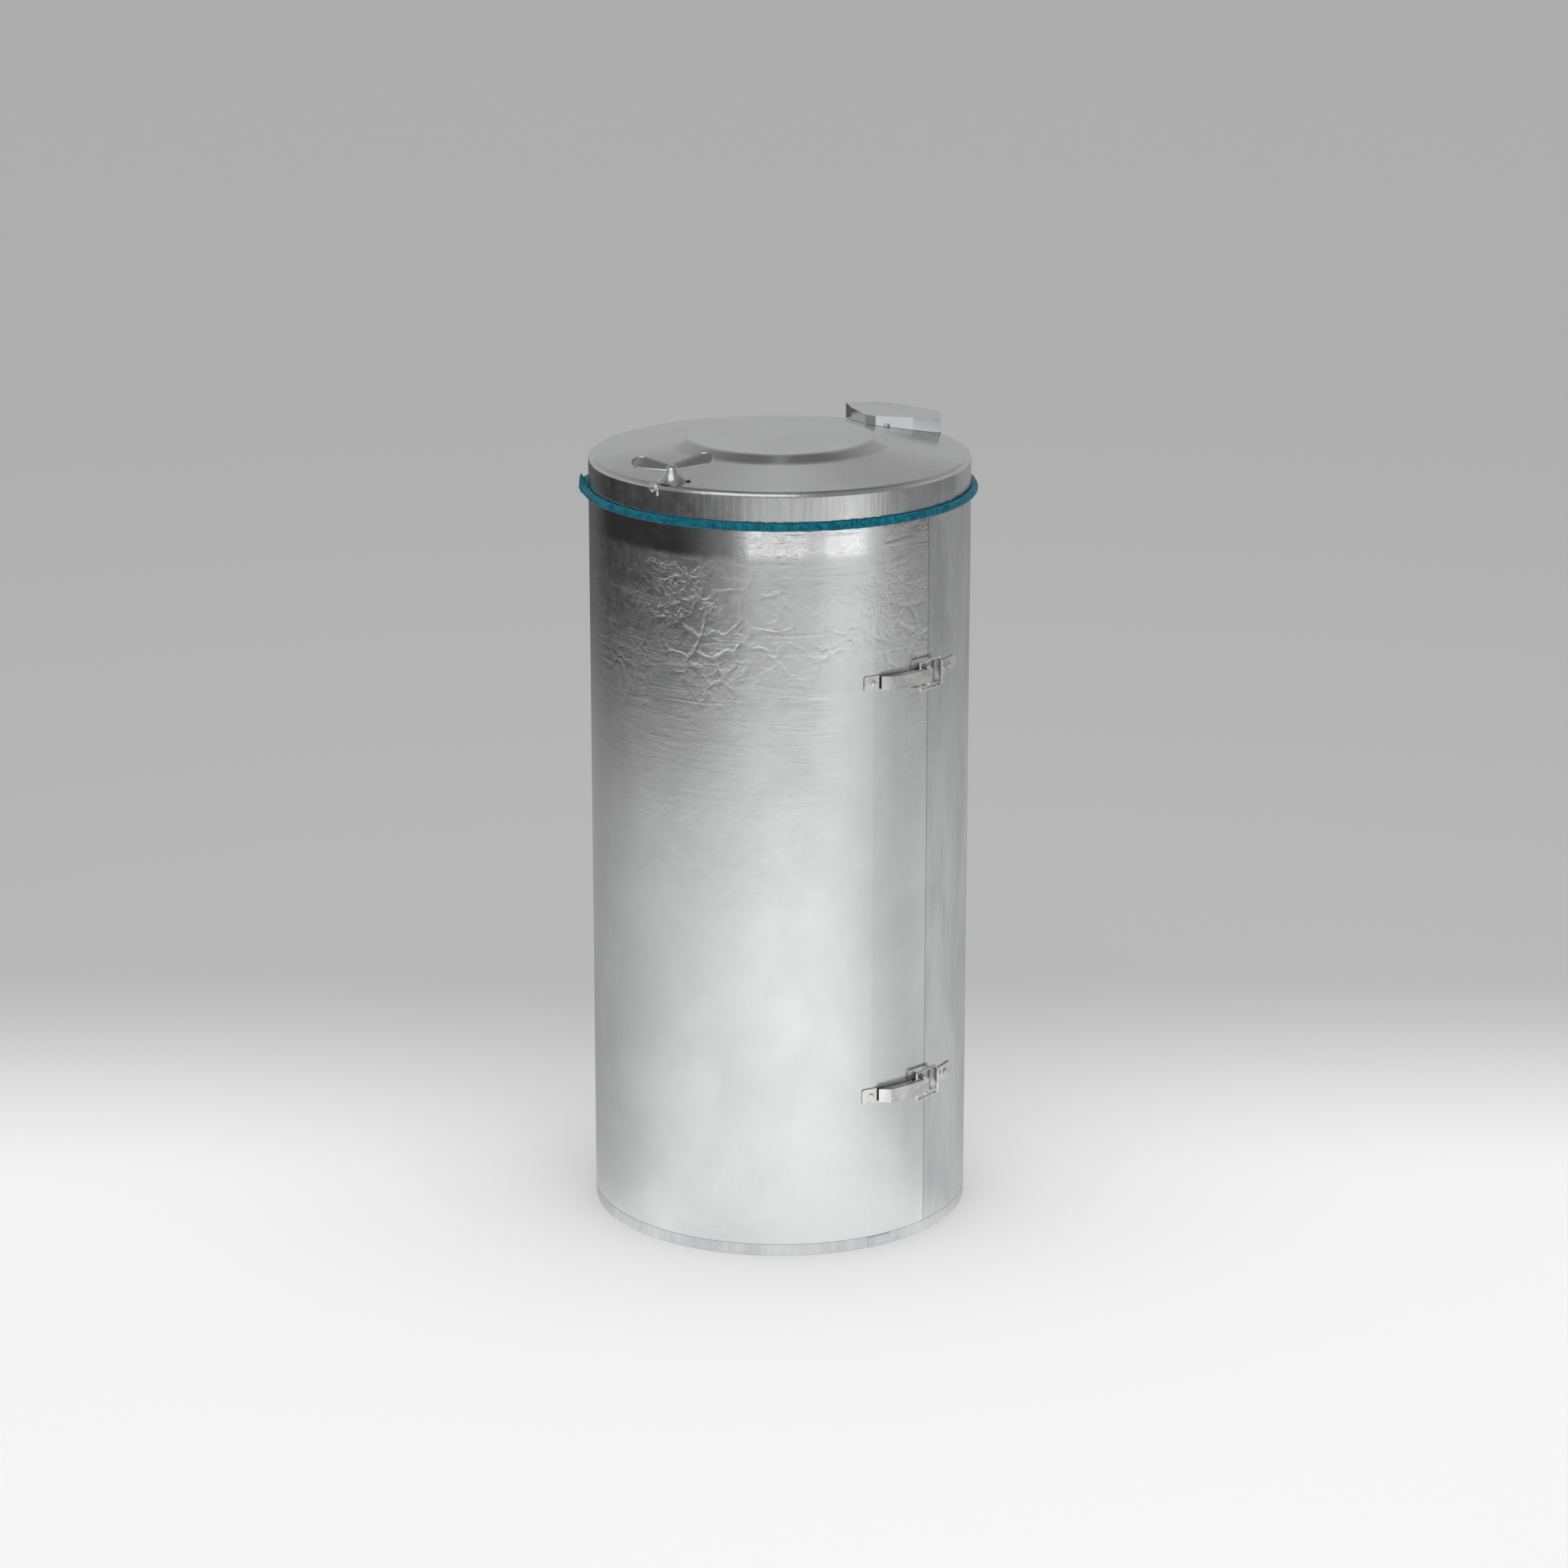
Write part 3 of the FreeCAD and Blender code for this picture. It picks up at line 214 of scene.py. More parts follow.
def makeMottle():  # cloudy zinc: broad clouds, small blotches and a fine grain
    group, tree, given, out = newGroup("zincMottle", [
        ("Vector", "NodeSocketVector", None),
        ("Cloud Scale", "NodeSocketFloat", 9.0),
        ("Blotch Scale", "NodeSocketFloat", 70.0),
    ], ["Clouds", "Blotches", "Grain"])
    put = group.links.new
    put(tree.noise(given["Vector"], given["Cloud Scale"], 4, 0.55, 0.4), out["Clouds"])
    put(tree.noise(given["Vector"], given["Blotch Scale"], 3, 0.6, 0.6), out["Blotches"])
    put(tree.noise(given["Vector"], 520.0, 2, 0.6), out["Grain"])
    return group


creases = {
    "warpScale": 16.0, "warpDetail": 4.0, "warpReach": 0.07, "patch": (0.42, 0.66), "least": 0.04,
    "nets": [  # times the scale, width of a crease, strength in the patches, scale of the patches
        (1.0, 0.14, 0.70, 9.0),
        (2.7, 0.20, 0.36, 17.0),
    ],
    "scuffStretch": (8.0, 8.0, 70.0), "scuffTurn": (0.2, 0.3, 0.0), "scuffBand": (0.5, 0.72),
}


def makeCrumple():  # thin creases of the zinc skin, long ones and a finer net in patches, and level scuffs
    group, tree, given, out = newGroup("zincCrumple", [
        ("Vector", "NodeSocketVector", None),
        ("Scale", "NodeSocketFloat", 30.0),
    ], ["Crumple", "Scuffs"])
    warp = tree.add("ShaderNodeTexNoise", {"Vector": given["Vector"], "Scale": creases["warpScale"],
                                           "Detail": creases["warpDetail"]})
    offset = tree.add("ShaderNodeVectorMath", {0: warp.outputs["Color"], 1: (0.5, 0.5, 0.5)},
                      operation="SUBTRACT")
    pushed = tree.add("ShaderNodeVectorMath", {0: offset.outputs[0], 3: creases["warpReach"]},
                      operation="SCALE")
    moved = tree.add("ShaderNodeVectorMath", {0: given["Vector"], 1: pushed.outputs[0]}, operation="ADD")
    layers = []
    for finer, width, share, scale in creases["nets"]:
        net = tree.add("ShaderNodeTexVoronoi", {"Vector": moved.outputs[0],
                                                "Scale": tree.math("MULTIPLY", given["Scale"], finer)},
                       feature="DISTANCE_TO_EDGE")
        kept = tree.span(tree.noise(given["Vector"], scale, 2), *creases["patch"], creases["least"], share)
        layers.append(tree.math("MULTIPLY", tree.span(net.outputs["Distance"], 0.0, width), kept))
    crumple = tree.math("ADD", *layers)
    level = tree.stretch(given["Vector"], creases["scuffStretch"], creases["scuffTurn"])
    scuffs = tree.span(tree.noise(level, 1.0, 3, 0.6, 0.8), *creases["scuffBand"])
    group.links.new(crumple, out["Crumple"])
    group.links.new(scuffs, out["Scuffs"])
    return group


def makeRuns():  # fine vertical runs and horizontal rolling marks
    group, tree, given, out = newGroup("sheetRuns", [("Vector", "NodeSocketVector", None)], ["Runs", "Rolling"])
    upright = tree.stretch(given["Vector"], (1.0, 1.0, 0.05))
    level = tree.stretch(given["Vector"], (0.07, 0.07, 1.0))
    group.links.new(tree.noise(upright, 170.0, 3, 0.6, 0.2), out["Runs"])
    group.links.new(tree.noise(level, 150.0, 4, 0.65, 0.3), out["Rolling"])
    return group


mottleGroup = makeMottle()
crumpleGroup = makeCrumple()
runsGroup = makeRuns()


def useGroup(tree, group, wires):
    node = tree.add("ShaderNodeGroup", node_tree=group)
    for name, source in wires.items():
        if isinstance(source, bpy.types.NodeSocket):
            tree.tree.links.new(source, node.inputs[name])
        else:
            node.inputs[name].default_value = source
    return node.outputs


# metal finishes

even = {"creased": (0.1, 0.5, 1.0, 1.1), "drawn": 1.0, "rubbed": 0.0}
galvanized = {
    "door": {"tone": (0.86, 0.865, 0.87), "dim": (0.76, 0.765, 0.77), "rough": 0.21, "cloud": 8.0,
             "blotch": 75.0, "crumple": 0.75, "scuff": 0.5, "runsLow": 0.12, "runsHigh": 0.12, "rolling": 0.25,
             "wave": 0.9, "bump": 0.5, "topFrom": 0.50, "topTo": 0.74, "creased": (0.62, 0.76, 0.82, 0.855),
             "drawn": 1.0, "rubbed": 0.11},
    "shell": {**even, "tone": (0.80, 0.805, 0.81), "dim": (0.63, 0.635, 0.645), "rough": 0.32, "cloud": 16.0,
              "blotch": 170.0, "crumple": 0.3, "scuff": 0.2, "runsLow": 0.9, "runsHigh": 0.9, "rolling": 0.1,
              "wave": 1.2, "bump": 0.5, "topFrom": 0.1, "topTo": 0.9, "drawn": 0.35},
    "lid": {**even, "tone": (0.79, 0.795, 0.80), "dim": (0.71, 0.715, 0.72), "rough": 0.20, "cloud": 7.0,
            "blotch": 50.0, "crumple": 0.0, "scuff": 0.15, "runsLow": 3.5, "runsHigh": 0.12, "rolling": 0.3,
            "wave": 0.8, "bump": 0.3, "topFrom": 0.912, "topTo": 0.918},
    "small": {**even, "tone": (0.76, 0.765, 0.77), "dim": (0.58, 0.585, 0.59), "rough": 0.26, "cloud": 22.0,
              "blotch": 140.0, "crumple": 0.2, "scuff": 0.2, "runsLow": 0.3, "runsHigh": 0.3, "rolling": 0.1,
              "wave": 0.6, "bump": 0.4, "topFrom": 0.0, "topTo": 1.0},
}
skin = {  # what all the galvanized finishes share
    "cloudBand": (0.30, 0.72), "blotchShade": 0.8, "runShade": 1.2, "blotchRough": 0.16, "scuffRough": 0.08,
    "rubbedBand": (0.838, 0.848), "bumpDepth": 0.0008,
    "relief": {"Blotches": 0.25, "Grain": 0.03, "scuff": 0.35, "run": 0.30, "rolling": 0.5},
}


def makeGalvanized(name, given):
    material, rawTree = newMaterial(name)
    tree = Tree(rawTree)
    place = tree.add("ShaderNodeTexCoord").outputs["Object"]
    height = tree.add("ShaderNodeSeparateXYZ", {0: place}).outputs["Z"]
    drawn = tree.stretch(place, (1.0, 1.0, given["drawn"]))
    mottle = useGroup(tree, mottleGroup, {"Vector": drawn, "Cloud Scale": given["cloud"],
                                          "Blotch Scale": given["blotch"]})
    wrinkles = useGroup(tree, crumpleGroup, {"Vector": place})
    runs = useGroup(tree, runsGroup, {"Vector": place})
    raised = tree.span(height, given["topFrom"], given["topTo"])
    low, full, top, gone = given["creased"]
    creased = tree.math("MULTIPLY", tree.span(height, low, full), tree.span(height, top, gone, 1.0, 0.0))
    crumple = tree.math("MULTIPLY", creased, given["crumple"])
    crumple = tree.math("MULTIPLY", wrinkles["Crumple"], crumple)
    scuff = tree.math("MULTIPLY", wrinkles["Scuffs"], tree.math("MULTIPLY", raised, given["scuff"]))
    strength = tree.blend(raised, given["runsLow"], given["runsHigh"])
    run = tree.math("MULTIPLY", tree.math("SUBTRACT", runs["Runs"], 0.5), strength)
    rolling = tree.math("MULTIPLY", tree.math("SUBTRACT", runs["Rolling"], 0.5), given["rolling"])

    shade = tree.span(mottle["Clouds"], *skin["cloudBand"])
    shade = tree.sum(shade, tree.math("SUBTRACT", mottle["Blotches"], 0.5), skin["blotchShade"])
    shade = tree.math("ADD", shade, tree.math("MULTIPLY", run, skin["runShade"]), clamp=True)
    colour = tree.mix(shade, (*given["dim"], 1), (*given["tone"], 1))

    rough = tree.sum(given["rough"] - skin["blotchRough"] / 2, mottle["Blotches"], skin["blotchRough"])
    rough = tree.sum(rough, scuff, skin["scuffRough"])
    rubbed = tree.span(height, *skin["rubbedBand"], 0.0, given["rubbed"])
    rough = tree.math("SUBTRACT", rough, rubbed, clamp=True)

    weights = skin["relief"]
    relief = tree.sum(crumple, mottle["Clouds"], given["wave"])
    relief = tree.sum(relief, mottle["Blotches"], weights["Blotches"])
    relief = tree.sum(relief, mottle["Grain"], weights["Grain"])
    relief = tree.sum(relief, scuff, weights["scuff"])
    relief = tree.sum(relief, run, weights["run"])
    relief = tree.sum(relief, rolling, weights["rolling"])
    bump = tree.add("ShaderNodeBump", {"Height": relief, "Strength": given["bump"],
                                       "Distance": skin["bumpDepth"]})

    steel = tree.add("ShaderNodeBsdfPrincipled", {"Base Color": colour, "Metallic": 1.0, "Roughness": rough,
                                                  "Normal": bump.outputs[0]})
    tree.add("ShaderNodeOutputMaterial", {"Surface": steel.outputs[0]})
    return material


plated = {"tone": (0.90, 0.90, 0.89), "dim": (0.66, 0.66, 0.66), "gap": (0.10, 0.10, 0.10), "rough": 0.10,
          "blotchRough": 0.16, "cloud": 45.0, "blotch": 240.0, "gapReach": 0.009, "gapBand": (0.25, 0.80),
          "bump": 0.12, "bumpDepth": 0.0004}


def makePlated():
    material, rawTree = newMaterial("brightPlatedSteel")
    tree = Tree(rawTree)
    place = tree.add("ShaderNodeTexCoord").outputs["Object"]
    mottle = useGroup(tree, mottleGroup, {"Vector": place, "Cloud Scale": plated["cloud"],
                                          "Blotch Scale": plated["blotch"]})
    shade = tree.span(mottle["Clouds"], 0.3, 0.6)
    colour = tree.mix(shade, (*plated["dim"], 1), (*plated["tone"], 1))
    # painted shade: the colour turns near black where other parts come close, standing in for the shade in gaps
    # and corners
    clear = tree.add("ShaderNodeAmbientOcclusion", {"Distance": plated["gapReach"]}, samples=8).outputs["AO"]
    colour = tree.mix(tree.span(clear, *plated["gapBand"]), (*plated["gap"], 1), colour)
    rough = tree.sum(plated["rough"], mottle["Blotches"], plated["blotchRough"])
    bump = tree.add("ShaderNodeBump", {"Height": mottle["Blotches"], "Strength": plated["bump"],
                                       "Distance": plated["bumpDepth"]})
    steel = tree.add("ShaderNodeBsdfPrincipled", {"Base Color": colour, "Metallic": 1.0, "Roughness": rough,
                                                  "Normal": bump.outputs[0]})
    tree.add("ShaderNodeOutputMaterial", {"Surface": steel.outputs[0]})
    return material


film = {"deep": (0.0, 0.066, 0.098), "bright": (0.0, 0.158, 0.220), "rough": 0.26, "creaseRough": 0.2,
        "specular": 0.22, "index": 1.42, "scale": 160.0, "hemBand": (0.86, 0.88), "hemShare": (0.35, 0.65),
        "sideShare": (-0.3, 1.3), "bump": 0.5, "bumpDepth": 0.0006}


def makeFilm():
    material, rawTree = newMaterial("tealFilm")
    tree = Tree(rawTree)
    place = tree.add("ShaderNodeTexCoord").outputs["Object"]
    folds = tree.noise(tree.stretch(place, (1.0, 1.0, 0.6)), film["scale"], 4, 0.6, 1.2)
    height = tree.add("ShaderNodeSeparateXYZ", {0: place}).outputs["Z"]
    hem = tree.span(height, *film["hemBand"])
    # painted shade: the teal runs from deep to bright with the same fold noise that drives the bump, so the
    # fold hollows are painted darker, most strongly on the hem
    share = tree.blend(hem, tree.span(folds, *film["sideShare"]), tree.span(folds, *film["hemShare"]))
    colour = tree.mix(share, (*film["deep"], 1), (*film["bright"], 1))
    rough = tree.sum(film["rough"], folds, film["creaseRough"])
    bump = tree.add("ShaderNodeBump", {"Height": folds, "Strength": film["bump"],
                                       "Distance": film["bumpDepth"]})
    plastic = tree.add("ShaderNodeBsdfPrincipled", {"Base Color": colour, "Roughness": rough,
                                                    "IOR": film["index"],
                                                    "Specular IOR Level": film["specular"],
                                                    "Normal": bump.outputs[0]})
    tree.add("ShaderNodeOutputMaterial", {"Surface": plastic.outputs[0]})
    return material


elastic = {"deep": (0.018, 0.018, 0.019), "bright": (0.045, 0.045, 0.047), "scale": 600.0,
           "rough": (0.55, 0.8), "bump": 0.3, "bumpDepth": 0.0003}


def makeRubber():
    material, rawTree = newMaterial("blackElastic")
    tree = Tree(rawTree)
    place = tree.add("ShaderNodeTexCoord").outputs["Object"]
    fuzz = tree.noise(place, elastic["scale"], 3, 0.6)
    colour = tree.mix(fuzz, (*elastic["deep"], 1), (*elastic["bright"], 1))
    rough = tree.span(fuzz, 0.2, 0.8, *elastic["rough"])
    bump = tree.add("ShaderNodeBump", {"Height": fuzz, "Strength": elastic["bump"],
                                       "Distance": elastic["bumpDepth"]})
    rubber = tree.add("ShaderNodeBsdfPrincipled", {"Base Color": colour, "Roughness": rough,
                                                   "Normal": bump.outputs[0]})
    tree.add("ShaderNodeOutputMaterial", {"Surface": rubber.outputs[0]})
    return material


finishes = {name: makeGalvanized(name + "Galvanized", given) for name, given in galvanized.items()}
finishes["plated"] = makePlated()
finishes["film"] = makeFilm()
finishes["elastic"] = makeRubber()

finishOf = {
    "door": ["door_panel"],
    "shell": ["rear_shell", "top_collar", "base_ring", "floor_pan", "latch_side_post", "hinge_side_post"],
    "lid": ["lid_shell", "lid_hinge_hood"],
    "small": ["lid_hinge_bracket", "upper_hinge_shell_leaf", "lower_hinge_shell_leaf",
              "upper_hinge_door_leaf", "lower_hinge_door_leaf"],
    "elastic": ["bag_ring"],
    "film": ["waste_bag"],
}
finishNames = {node: finish for finish, members in finishOf.items() for node in members}

for name, node in nodes.items():
    node.data.materials.clear()
    node.data.materials.append(finishes[finishNames.get(name, "plated")])
    smooth(node, 30)
print("materials made")


# the bag: a film cup in the can, folded over the neck, its hem crumpled round the bead

bag = {
    "segments": 720, "filmWall": 0.0003, "hemFrom": 0.2245, "hemBlend": 0.004, "hemWaves": 0.0011,
    "hemUnder": 0.880, "underDrop": 0.0008, "pucker": (22, 260), "finePucker": (75, 500), "fineShare": 0.6,
    "bunchAngle": -138, "bunchWidth": 6, "bunchFrom": 0.2270, "bunchOut": 0.003, "bunchUp": 0.012,
    "bunchOver": 0.8815, "bunchLumps": (70, 300), "neckFoot": 0.86, "sideRadius": 0.2096, "sideFold": 0.0175,
    "sideLimit": 0.3, "floorTop": 0.05, "floorLift": 0.004,
}
bagOutline = [
    (0.002, 0.0185), (0.060, 0.0185), (0.120, 0.0185), (0.165, 0.0188), (0.185, 0.0215), (0.199, 0.030),
    (0.2065, 0.044), (0.2092, 0.062), (0.2094, 0.15), (0.2094, 0.25), (0.2094, 0.35), (0.2094, 0.45),
    (0.2094, 0.55), (0.2094, 0.65), (0.2094, 0.75), (0.2094, 0.82), (0.2098, 0.85), (0.2130, 0.866),
    (0.2158, 0.880), (0.2160, 0.894), (0.2162, 0.9045), (0.2173, 0.9059), (0.2184, 0.9048), (0.2186, 0.894),
    (0.2187, 0.8835), (0.2200, 0.8822), (0.2232, 0.8820), (0.2250, 0.8838), (0.2270, 0.8848),
    (0.2290, 0.8850), (0.2309, 0.8842), (0.2322, 0.8826), (0.2327, 0.8808), (0.2324, 0.8792),
    (0.2316, 0.8778), (0.2304, 0.8768),
]


def ripple(angle, around, height):  # noise that closes on itself round the can
    return noise.noise(Vector((math.cos(angle) * around, math.sin(angle) * around, height)))


def puckerHem(vertex, angle, outward, radius, z):  # the hem: puckers round the bead, and a bunch at one place
    share = min(1.0, (radius - bag["hemFrom"]) / bag["hemBlend"])
    around, up = bag["pucker"]
    fineAround, fineUp = bag["finePucker"]
    lumps = ripple(angle, around, z * up) + bag["fineShare"] * ripple(angle, fineAround, z * fineUp + 7)
    move = bag["hemWaves"] * share * lumps
    vertex.co += outward * move
    vertex.co.z += move * 0.8 - (bag["underDrop"] * share if z < bag["hemUnder"] else 0)
    away = (math.degrees(angle) - bag["bunchAngle"] + 180) % 360 - 180
    bunch = math.exp(-(away / bag["bunchWidth"]) ** 2)
    bunch *= min(1.0, max(0.0, (radius - bag["bunchFrom"]) / bag["hemBlend"]))
    around, up = bag["bunchLumps"]
    crumple = noise.noise(Vector((angle * around, z * up, 3)))
    vertex.co += outward * bunch * bag["bunchOut"] * (0.8 + 0.9 * crumple)
    rise = 1 if z > bag["bunchOver"] else -0.25
    vertex.co.z += bunch * bag["bunchUp"] * (0.45 + 0.9 * crumple) * rise


def slackSide(vertex, angle, outward, radius, z):  # slack folds down the inside, held to the neck at the top
    depth = min(1.0, max(0.0, (bag["neckFoot"] - z) / (bag["neckFoot"] - 0.02)))
    slack = math.sin(math.pi * depth ** 0.6)
    wave = ripple(angle, 5, z * 1.8)
    small = ripple(angle, 16, z * 9 + 4)
    pull = (abs(wave) + 0.35 * abs(small)) * bag["sideFold"] * slack
    vertex.co -= outward * min(pull, radius * bag["sideLimit"])
    if z < bag["floorTop"]:
        vertex.co.z += bag["floorLift"] * abs(small) * slack


def makeBagFilm():
    cup = turnedRing("bagFilm", bag["segments"], bagOutline)
    for vertex in cup.data.vertices:
        x, y, z = vertex.co
        radius = math.hypot(x, y)
        angle = math.atan2(y, x)
        outward = Vector((math.cos(angle), math.sin(angle), 0))
        if radius > bag["hemFrom"]:
            puckerHem(vertex, angle, outward, radius, z)
        elif radius < bag["sideRadius"] and z < bag["neckFoot"]:
            slackSide(vertex, angle, outward, radius, z)
    pick(cup)
    bpy.ops.object.mode_set(mode="EDIT")
    bpy.ops.mesh.select_all(action="SELECT")
    bpy.ops.mesh.normals_make_consistent(inside=False)
    bpy.ops.object.mode_set(mode="OBJECT")
    wall = cup.modifiers.new("wall", "SOLIDIFY")
    wall.thickness = bag["filmWall"]
    wall.offset = 0
    applyAll(cup)
    finished(cup, "bag_film", "can", finishes["film"], 180)
    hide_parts("waste_bag")


makeBagFilm()
print("bag made")


# rivets: a domed head, copied to every place of its group: body, seat radius, (degrees, height)

rivets = {
    "headRadius": 0.0036, "headTall": 0.0017, "roundShare": 0.9, "sunk": 0.0001,
    "groups": {
        "latch_base_rivets": ("door", 0.2268, [(-21.3, 0.691), (-9, 0.691), (-21.3, 0.190), (-9, 0.190)]),
        "catch_rivets": ("can", 0.2268, [(7.6, 0.691), (10.8, 0.691), (7.6, 0.190), (10.8, 0.190)]),
        "door_leaf_rivets": ("door", 0.2271, [(187.2, 0.675), (187.2, 0.725), (187.2, 0.165), (187.2, 0.215)]),
        "shell_leaf_rivets": ("can", 0.2271, [(172.8, 0.675), (172.8, 0.725), (172.8, 0.165), (172.8, 0.215)]),
        "bracket_rivets": ("can", 0.2271, [(82.8, 0.804), (97.2, 0.804), (82.8, 0.826), (97.2, 0.826)]),
    },
}


def makeRivet():
    bpy.ops.object.select_all(action="DESELECT")
    bpy.ops.mesh.primitive_cylinder_add(vertices=28, radius=rivets["headRadius"], depth=rivets["headTall"],
                                        location=(0, 0, rivets["headTall"] / 2))
    rivet = bpy.context.object
    placed(rivet)
    bpy.ops.object.mode_set(mode="EDIT")
    mesh = bmesh.from_edit_mesh(rivet.data)
    for face in mesh.faces:
        face.select_set(face.normal.z > 0.9)
    bmesh.update_edit_mesh(rivet.data)
    roundness = rivets["headTall"] * rivets["roundShare"]
    bpy.ops.mesh.bevel(offset=roundness, offset_type="OFFSET", segments=5, affect="EDGES")
    bpy.ops.object.mode_set(mode="OBJECT")
    tidyMesh(rivet)
    return rivet


def makeRivets():
    model = makeRivet()
    outward = Matrix.Rotation(math.radians(90), 4, "Y")
    for name, (body, seat, spots) in rivets["groups"].items():
        copies = []
        for degrees, height in spots:
            copy = bpy.data.objects.new(name + "Copy", model.data.copy())
            bpy.context.scene.collection.objects.link(copy)
            copy.matrix_world = onCan(seat - rivets["sunk"], degrees, height) @ outward
            copies.append(copy)
        clearSelection()
        for copy in copies:
            copy.select_set(True)
        bpy.context.view_layer.objects.active = copies[0]
        bpy.ops.object.join()
        heads = placed(bpy.context.object)
        finished(heads, name[:-7] + "_rivet_heads", body, finishes["plated"], 50)
    bpy.data.objects.remove(model)


makeRivets()
print("rivets made")


# the grip: two pressed wings on a flared foot, and zinc drops where it and the hood are joined

grip = {
    "reach": 0.207, "degrees": -85.5, "slope": 7.27, "turn": 38, "seat": 0.9216, "sweep": 22, "lift": 3.8,
    "tilt": 18, "length": 0.038, "tip": 0.0115, "root": 0.0055, "neck": 0.0142, "rim": 0.0018, "curl": 0.0022,
    "sheet": 0.0013,
    "foot": [(0.0170, 0.0), (0.0169, 0.0008), (0.0150, 0.0022), (0.0125, 0.0044), (0.0102, 0.0075),
             (0.0086, 0.0108), (0.0074, 0.0140), (0.0064, 0.0164), (0.0048, 0.0178), (0.0025, 0.0184)],
}


def makeWing(side):
    bpy.ops.object.select_all(action="DESELECT")
    bpy.ops.mesh.primitive_grid_add(x_subdivisions=36, y_subdivisions=14, size=1)
    wing = placed(bpy.context.object)
    reach, tip, root = grip["length"], grip["tip"], grip["root"]
    whole = root + reach + tip
    for vertex in wing.data.vertices:
        share = (1 - math.cos(math.pi * (vertex.co.x + 0.5))) / 2
        along = whole * share - root
        edge = max(-1.0, min(1.0, vertex.co.y * 2))
        if along < 0:
            half = math.sqrt(max(0.0, root ** 2 - along ** 2))
        elif along < reach:
            half = root + (tip - root) * along / reach
        else:
            half = math.sqrt(max(0.0, tip ** 2 - (along - reach) ** 2))
        nearEdge = max(abs(edge), share) ** 6
        lift = grip["rim"] * nearEdge + grip["curl"] * share ** 2
        vertex.co = (along, edge * half, lift)
    tidyMesh(wing, 0.00002)
    wall = wing.modifiers.new("wall", "SOLIDIFY")
    wall.thickness = grip["sheet"]
    wall.offset = 0
    soften = wing.modifiers.new("soften", "BEVEL")
    soften.width = grip["sheet"] * 0.3
    soften.segments = 2
    soften.limit_method = "ANGLE"
    applyAll(wing)
    turn = Matrix.Rotation(0 if side > 0 else math.pi, 4, "Z")
    turn = turn @ Matrix.Rotation(math.radians(side * grip["sweep"]), 4, "Z")
    turn = turn @ Matrix.Rotation(math.radians(-grip["lift"]), 4, "Y")
    turn = turn @ Matrix.Rotation(math.radians(side * grip["tilt"]), 4, "X")
    return placed(wing, Matrix.Translation((0, 0, grip["neck"])) @ turn)


def makeGrip():
    foot = turnedRing("gripFoot", 48, grip["foot"])
    bpy.ops.object.mode_set(mode="EDIT")
    bpy.ops.mesh.edge_face_add()
    bpy.ops.object.mode_set(mode="OBJECT")
    tidyMesh(foot)
    parts = [foot, makeWing(1), makeWing(-1)]
    clearSelection()
    for part in parts:
        part.select_set(True)
    bpy.context.view_layer.objects.active = foot
    bpy.ops.object.join()
    lean = Matrix.Rotation(math.radians(grip["slope"]), 4, "Y")
    turn = Matrix.Rotation(math.radians(grip["turn"] - grip["degrees"]), 4, "Z")
    whole = placed(bpy.context.object, onCan(grip["reach"], grip["degrees"], grip["seat"]) @ lean @ turn)
    finished(whole, "pressed_grip", "lid", finishes["lid"], 40)
    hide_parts("lid_grip")


drops = {  # place on the can (radius, degrees, height) and half sizes
    "gripDrop": ((0.2250, -89.4, 0.9150), (0.0022, 0.0060, 0.0052)),
    "gripRun": ((0.2252, -87.6, 0.9105), (0.0014, 0.0018, 0.0046)),
    "footDrop": ((0.2010, -80.6, 0.9235), (0.0030, 0.0022, 0.0014)),
    "hoodDrop": ((0.1745, 83.2, 0.9262), (0.0032, 0.0034, 0.0030)),
}


def makeDrops():
    for name, (spot, radii) in drops.items():
        bpy.ops.object.select_all(action="DESELECT")
        bpy.ops.mesh.primitive_ico_sphere_add(subdivisions=4, radius=1)
        drop = placed(bpy.context.object)
        for vertex in drop.data.vertices:
            lump = noise.noise(vertex.co * 1.7 + Vector(spot) * 9)
            vertex.co *= 1 + 0.35 * lump
        placed(drop, onCan(*spot) @ Matrix.Diagonal((*radii, 1)))
        finished(drop, name, "lid", finishes["plated"], 180)


makeGrip()
makeDrops()
print("grip made")


# studio: pale floor whose colour darkens away as a painted light fall-off, glowing with painted reflection
# tones for reflected rays, and soft lamps

studio = {
    "floorSize": 80, "floorHeight": -0.0005, "near": (0.86, 0.86, 0.862), "far": (0.472, 0.472, 0.474),
    "fade": (-0.02, 0.85), "worldLight": 0.88, "topPower": 32, "topSize": 2.4, "topPlace": (0.6, -0.4, 3.4),
    "topAim": (0, 0, 0.6),
}
reflected = {  # painted reflections: what the steel mirrors of the floor, a glow that only reflected rays see: a first tone, then changes between two bearings
    "near": (0.35, [(-148, 20, 0.67), (20, 75, -0.46), (75, 92, 0.05), (95, 150, -0.13)]),
    "far": (0.10, [(-150, -118, -0.070), (-64, 0, 0.30), (5, 35, 0.27), (45, 90, -0.29)]),
    "farBand": (1.4, 3.45), "beyond": 0.45, "beyondBand": (6.5, 9.0),
}
paintedReflectionPatches = [  # painted reflections, floor patches that glow only for reflected rays: middle, half width and softness in degrees from the camera's side, start, full, end, gone, tone
    (5, 42, 45, -1.0, -0.5, 0.15, 0.80, 0.84),
    (15, 28, 18, 3.75, 3.90, 4.05, 4.50, 0.95),
    (-2, 12, 8, 3.74, 3.80, 4.04, 4.12, 1.60),
    (39, 8, 8, 3.74, 3.80, 4.04, 4.12, 1.60),
    (95, 25, 15, 4.05, 4.15, 5.50, 6.50, 0.13),
]


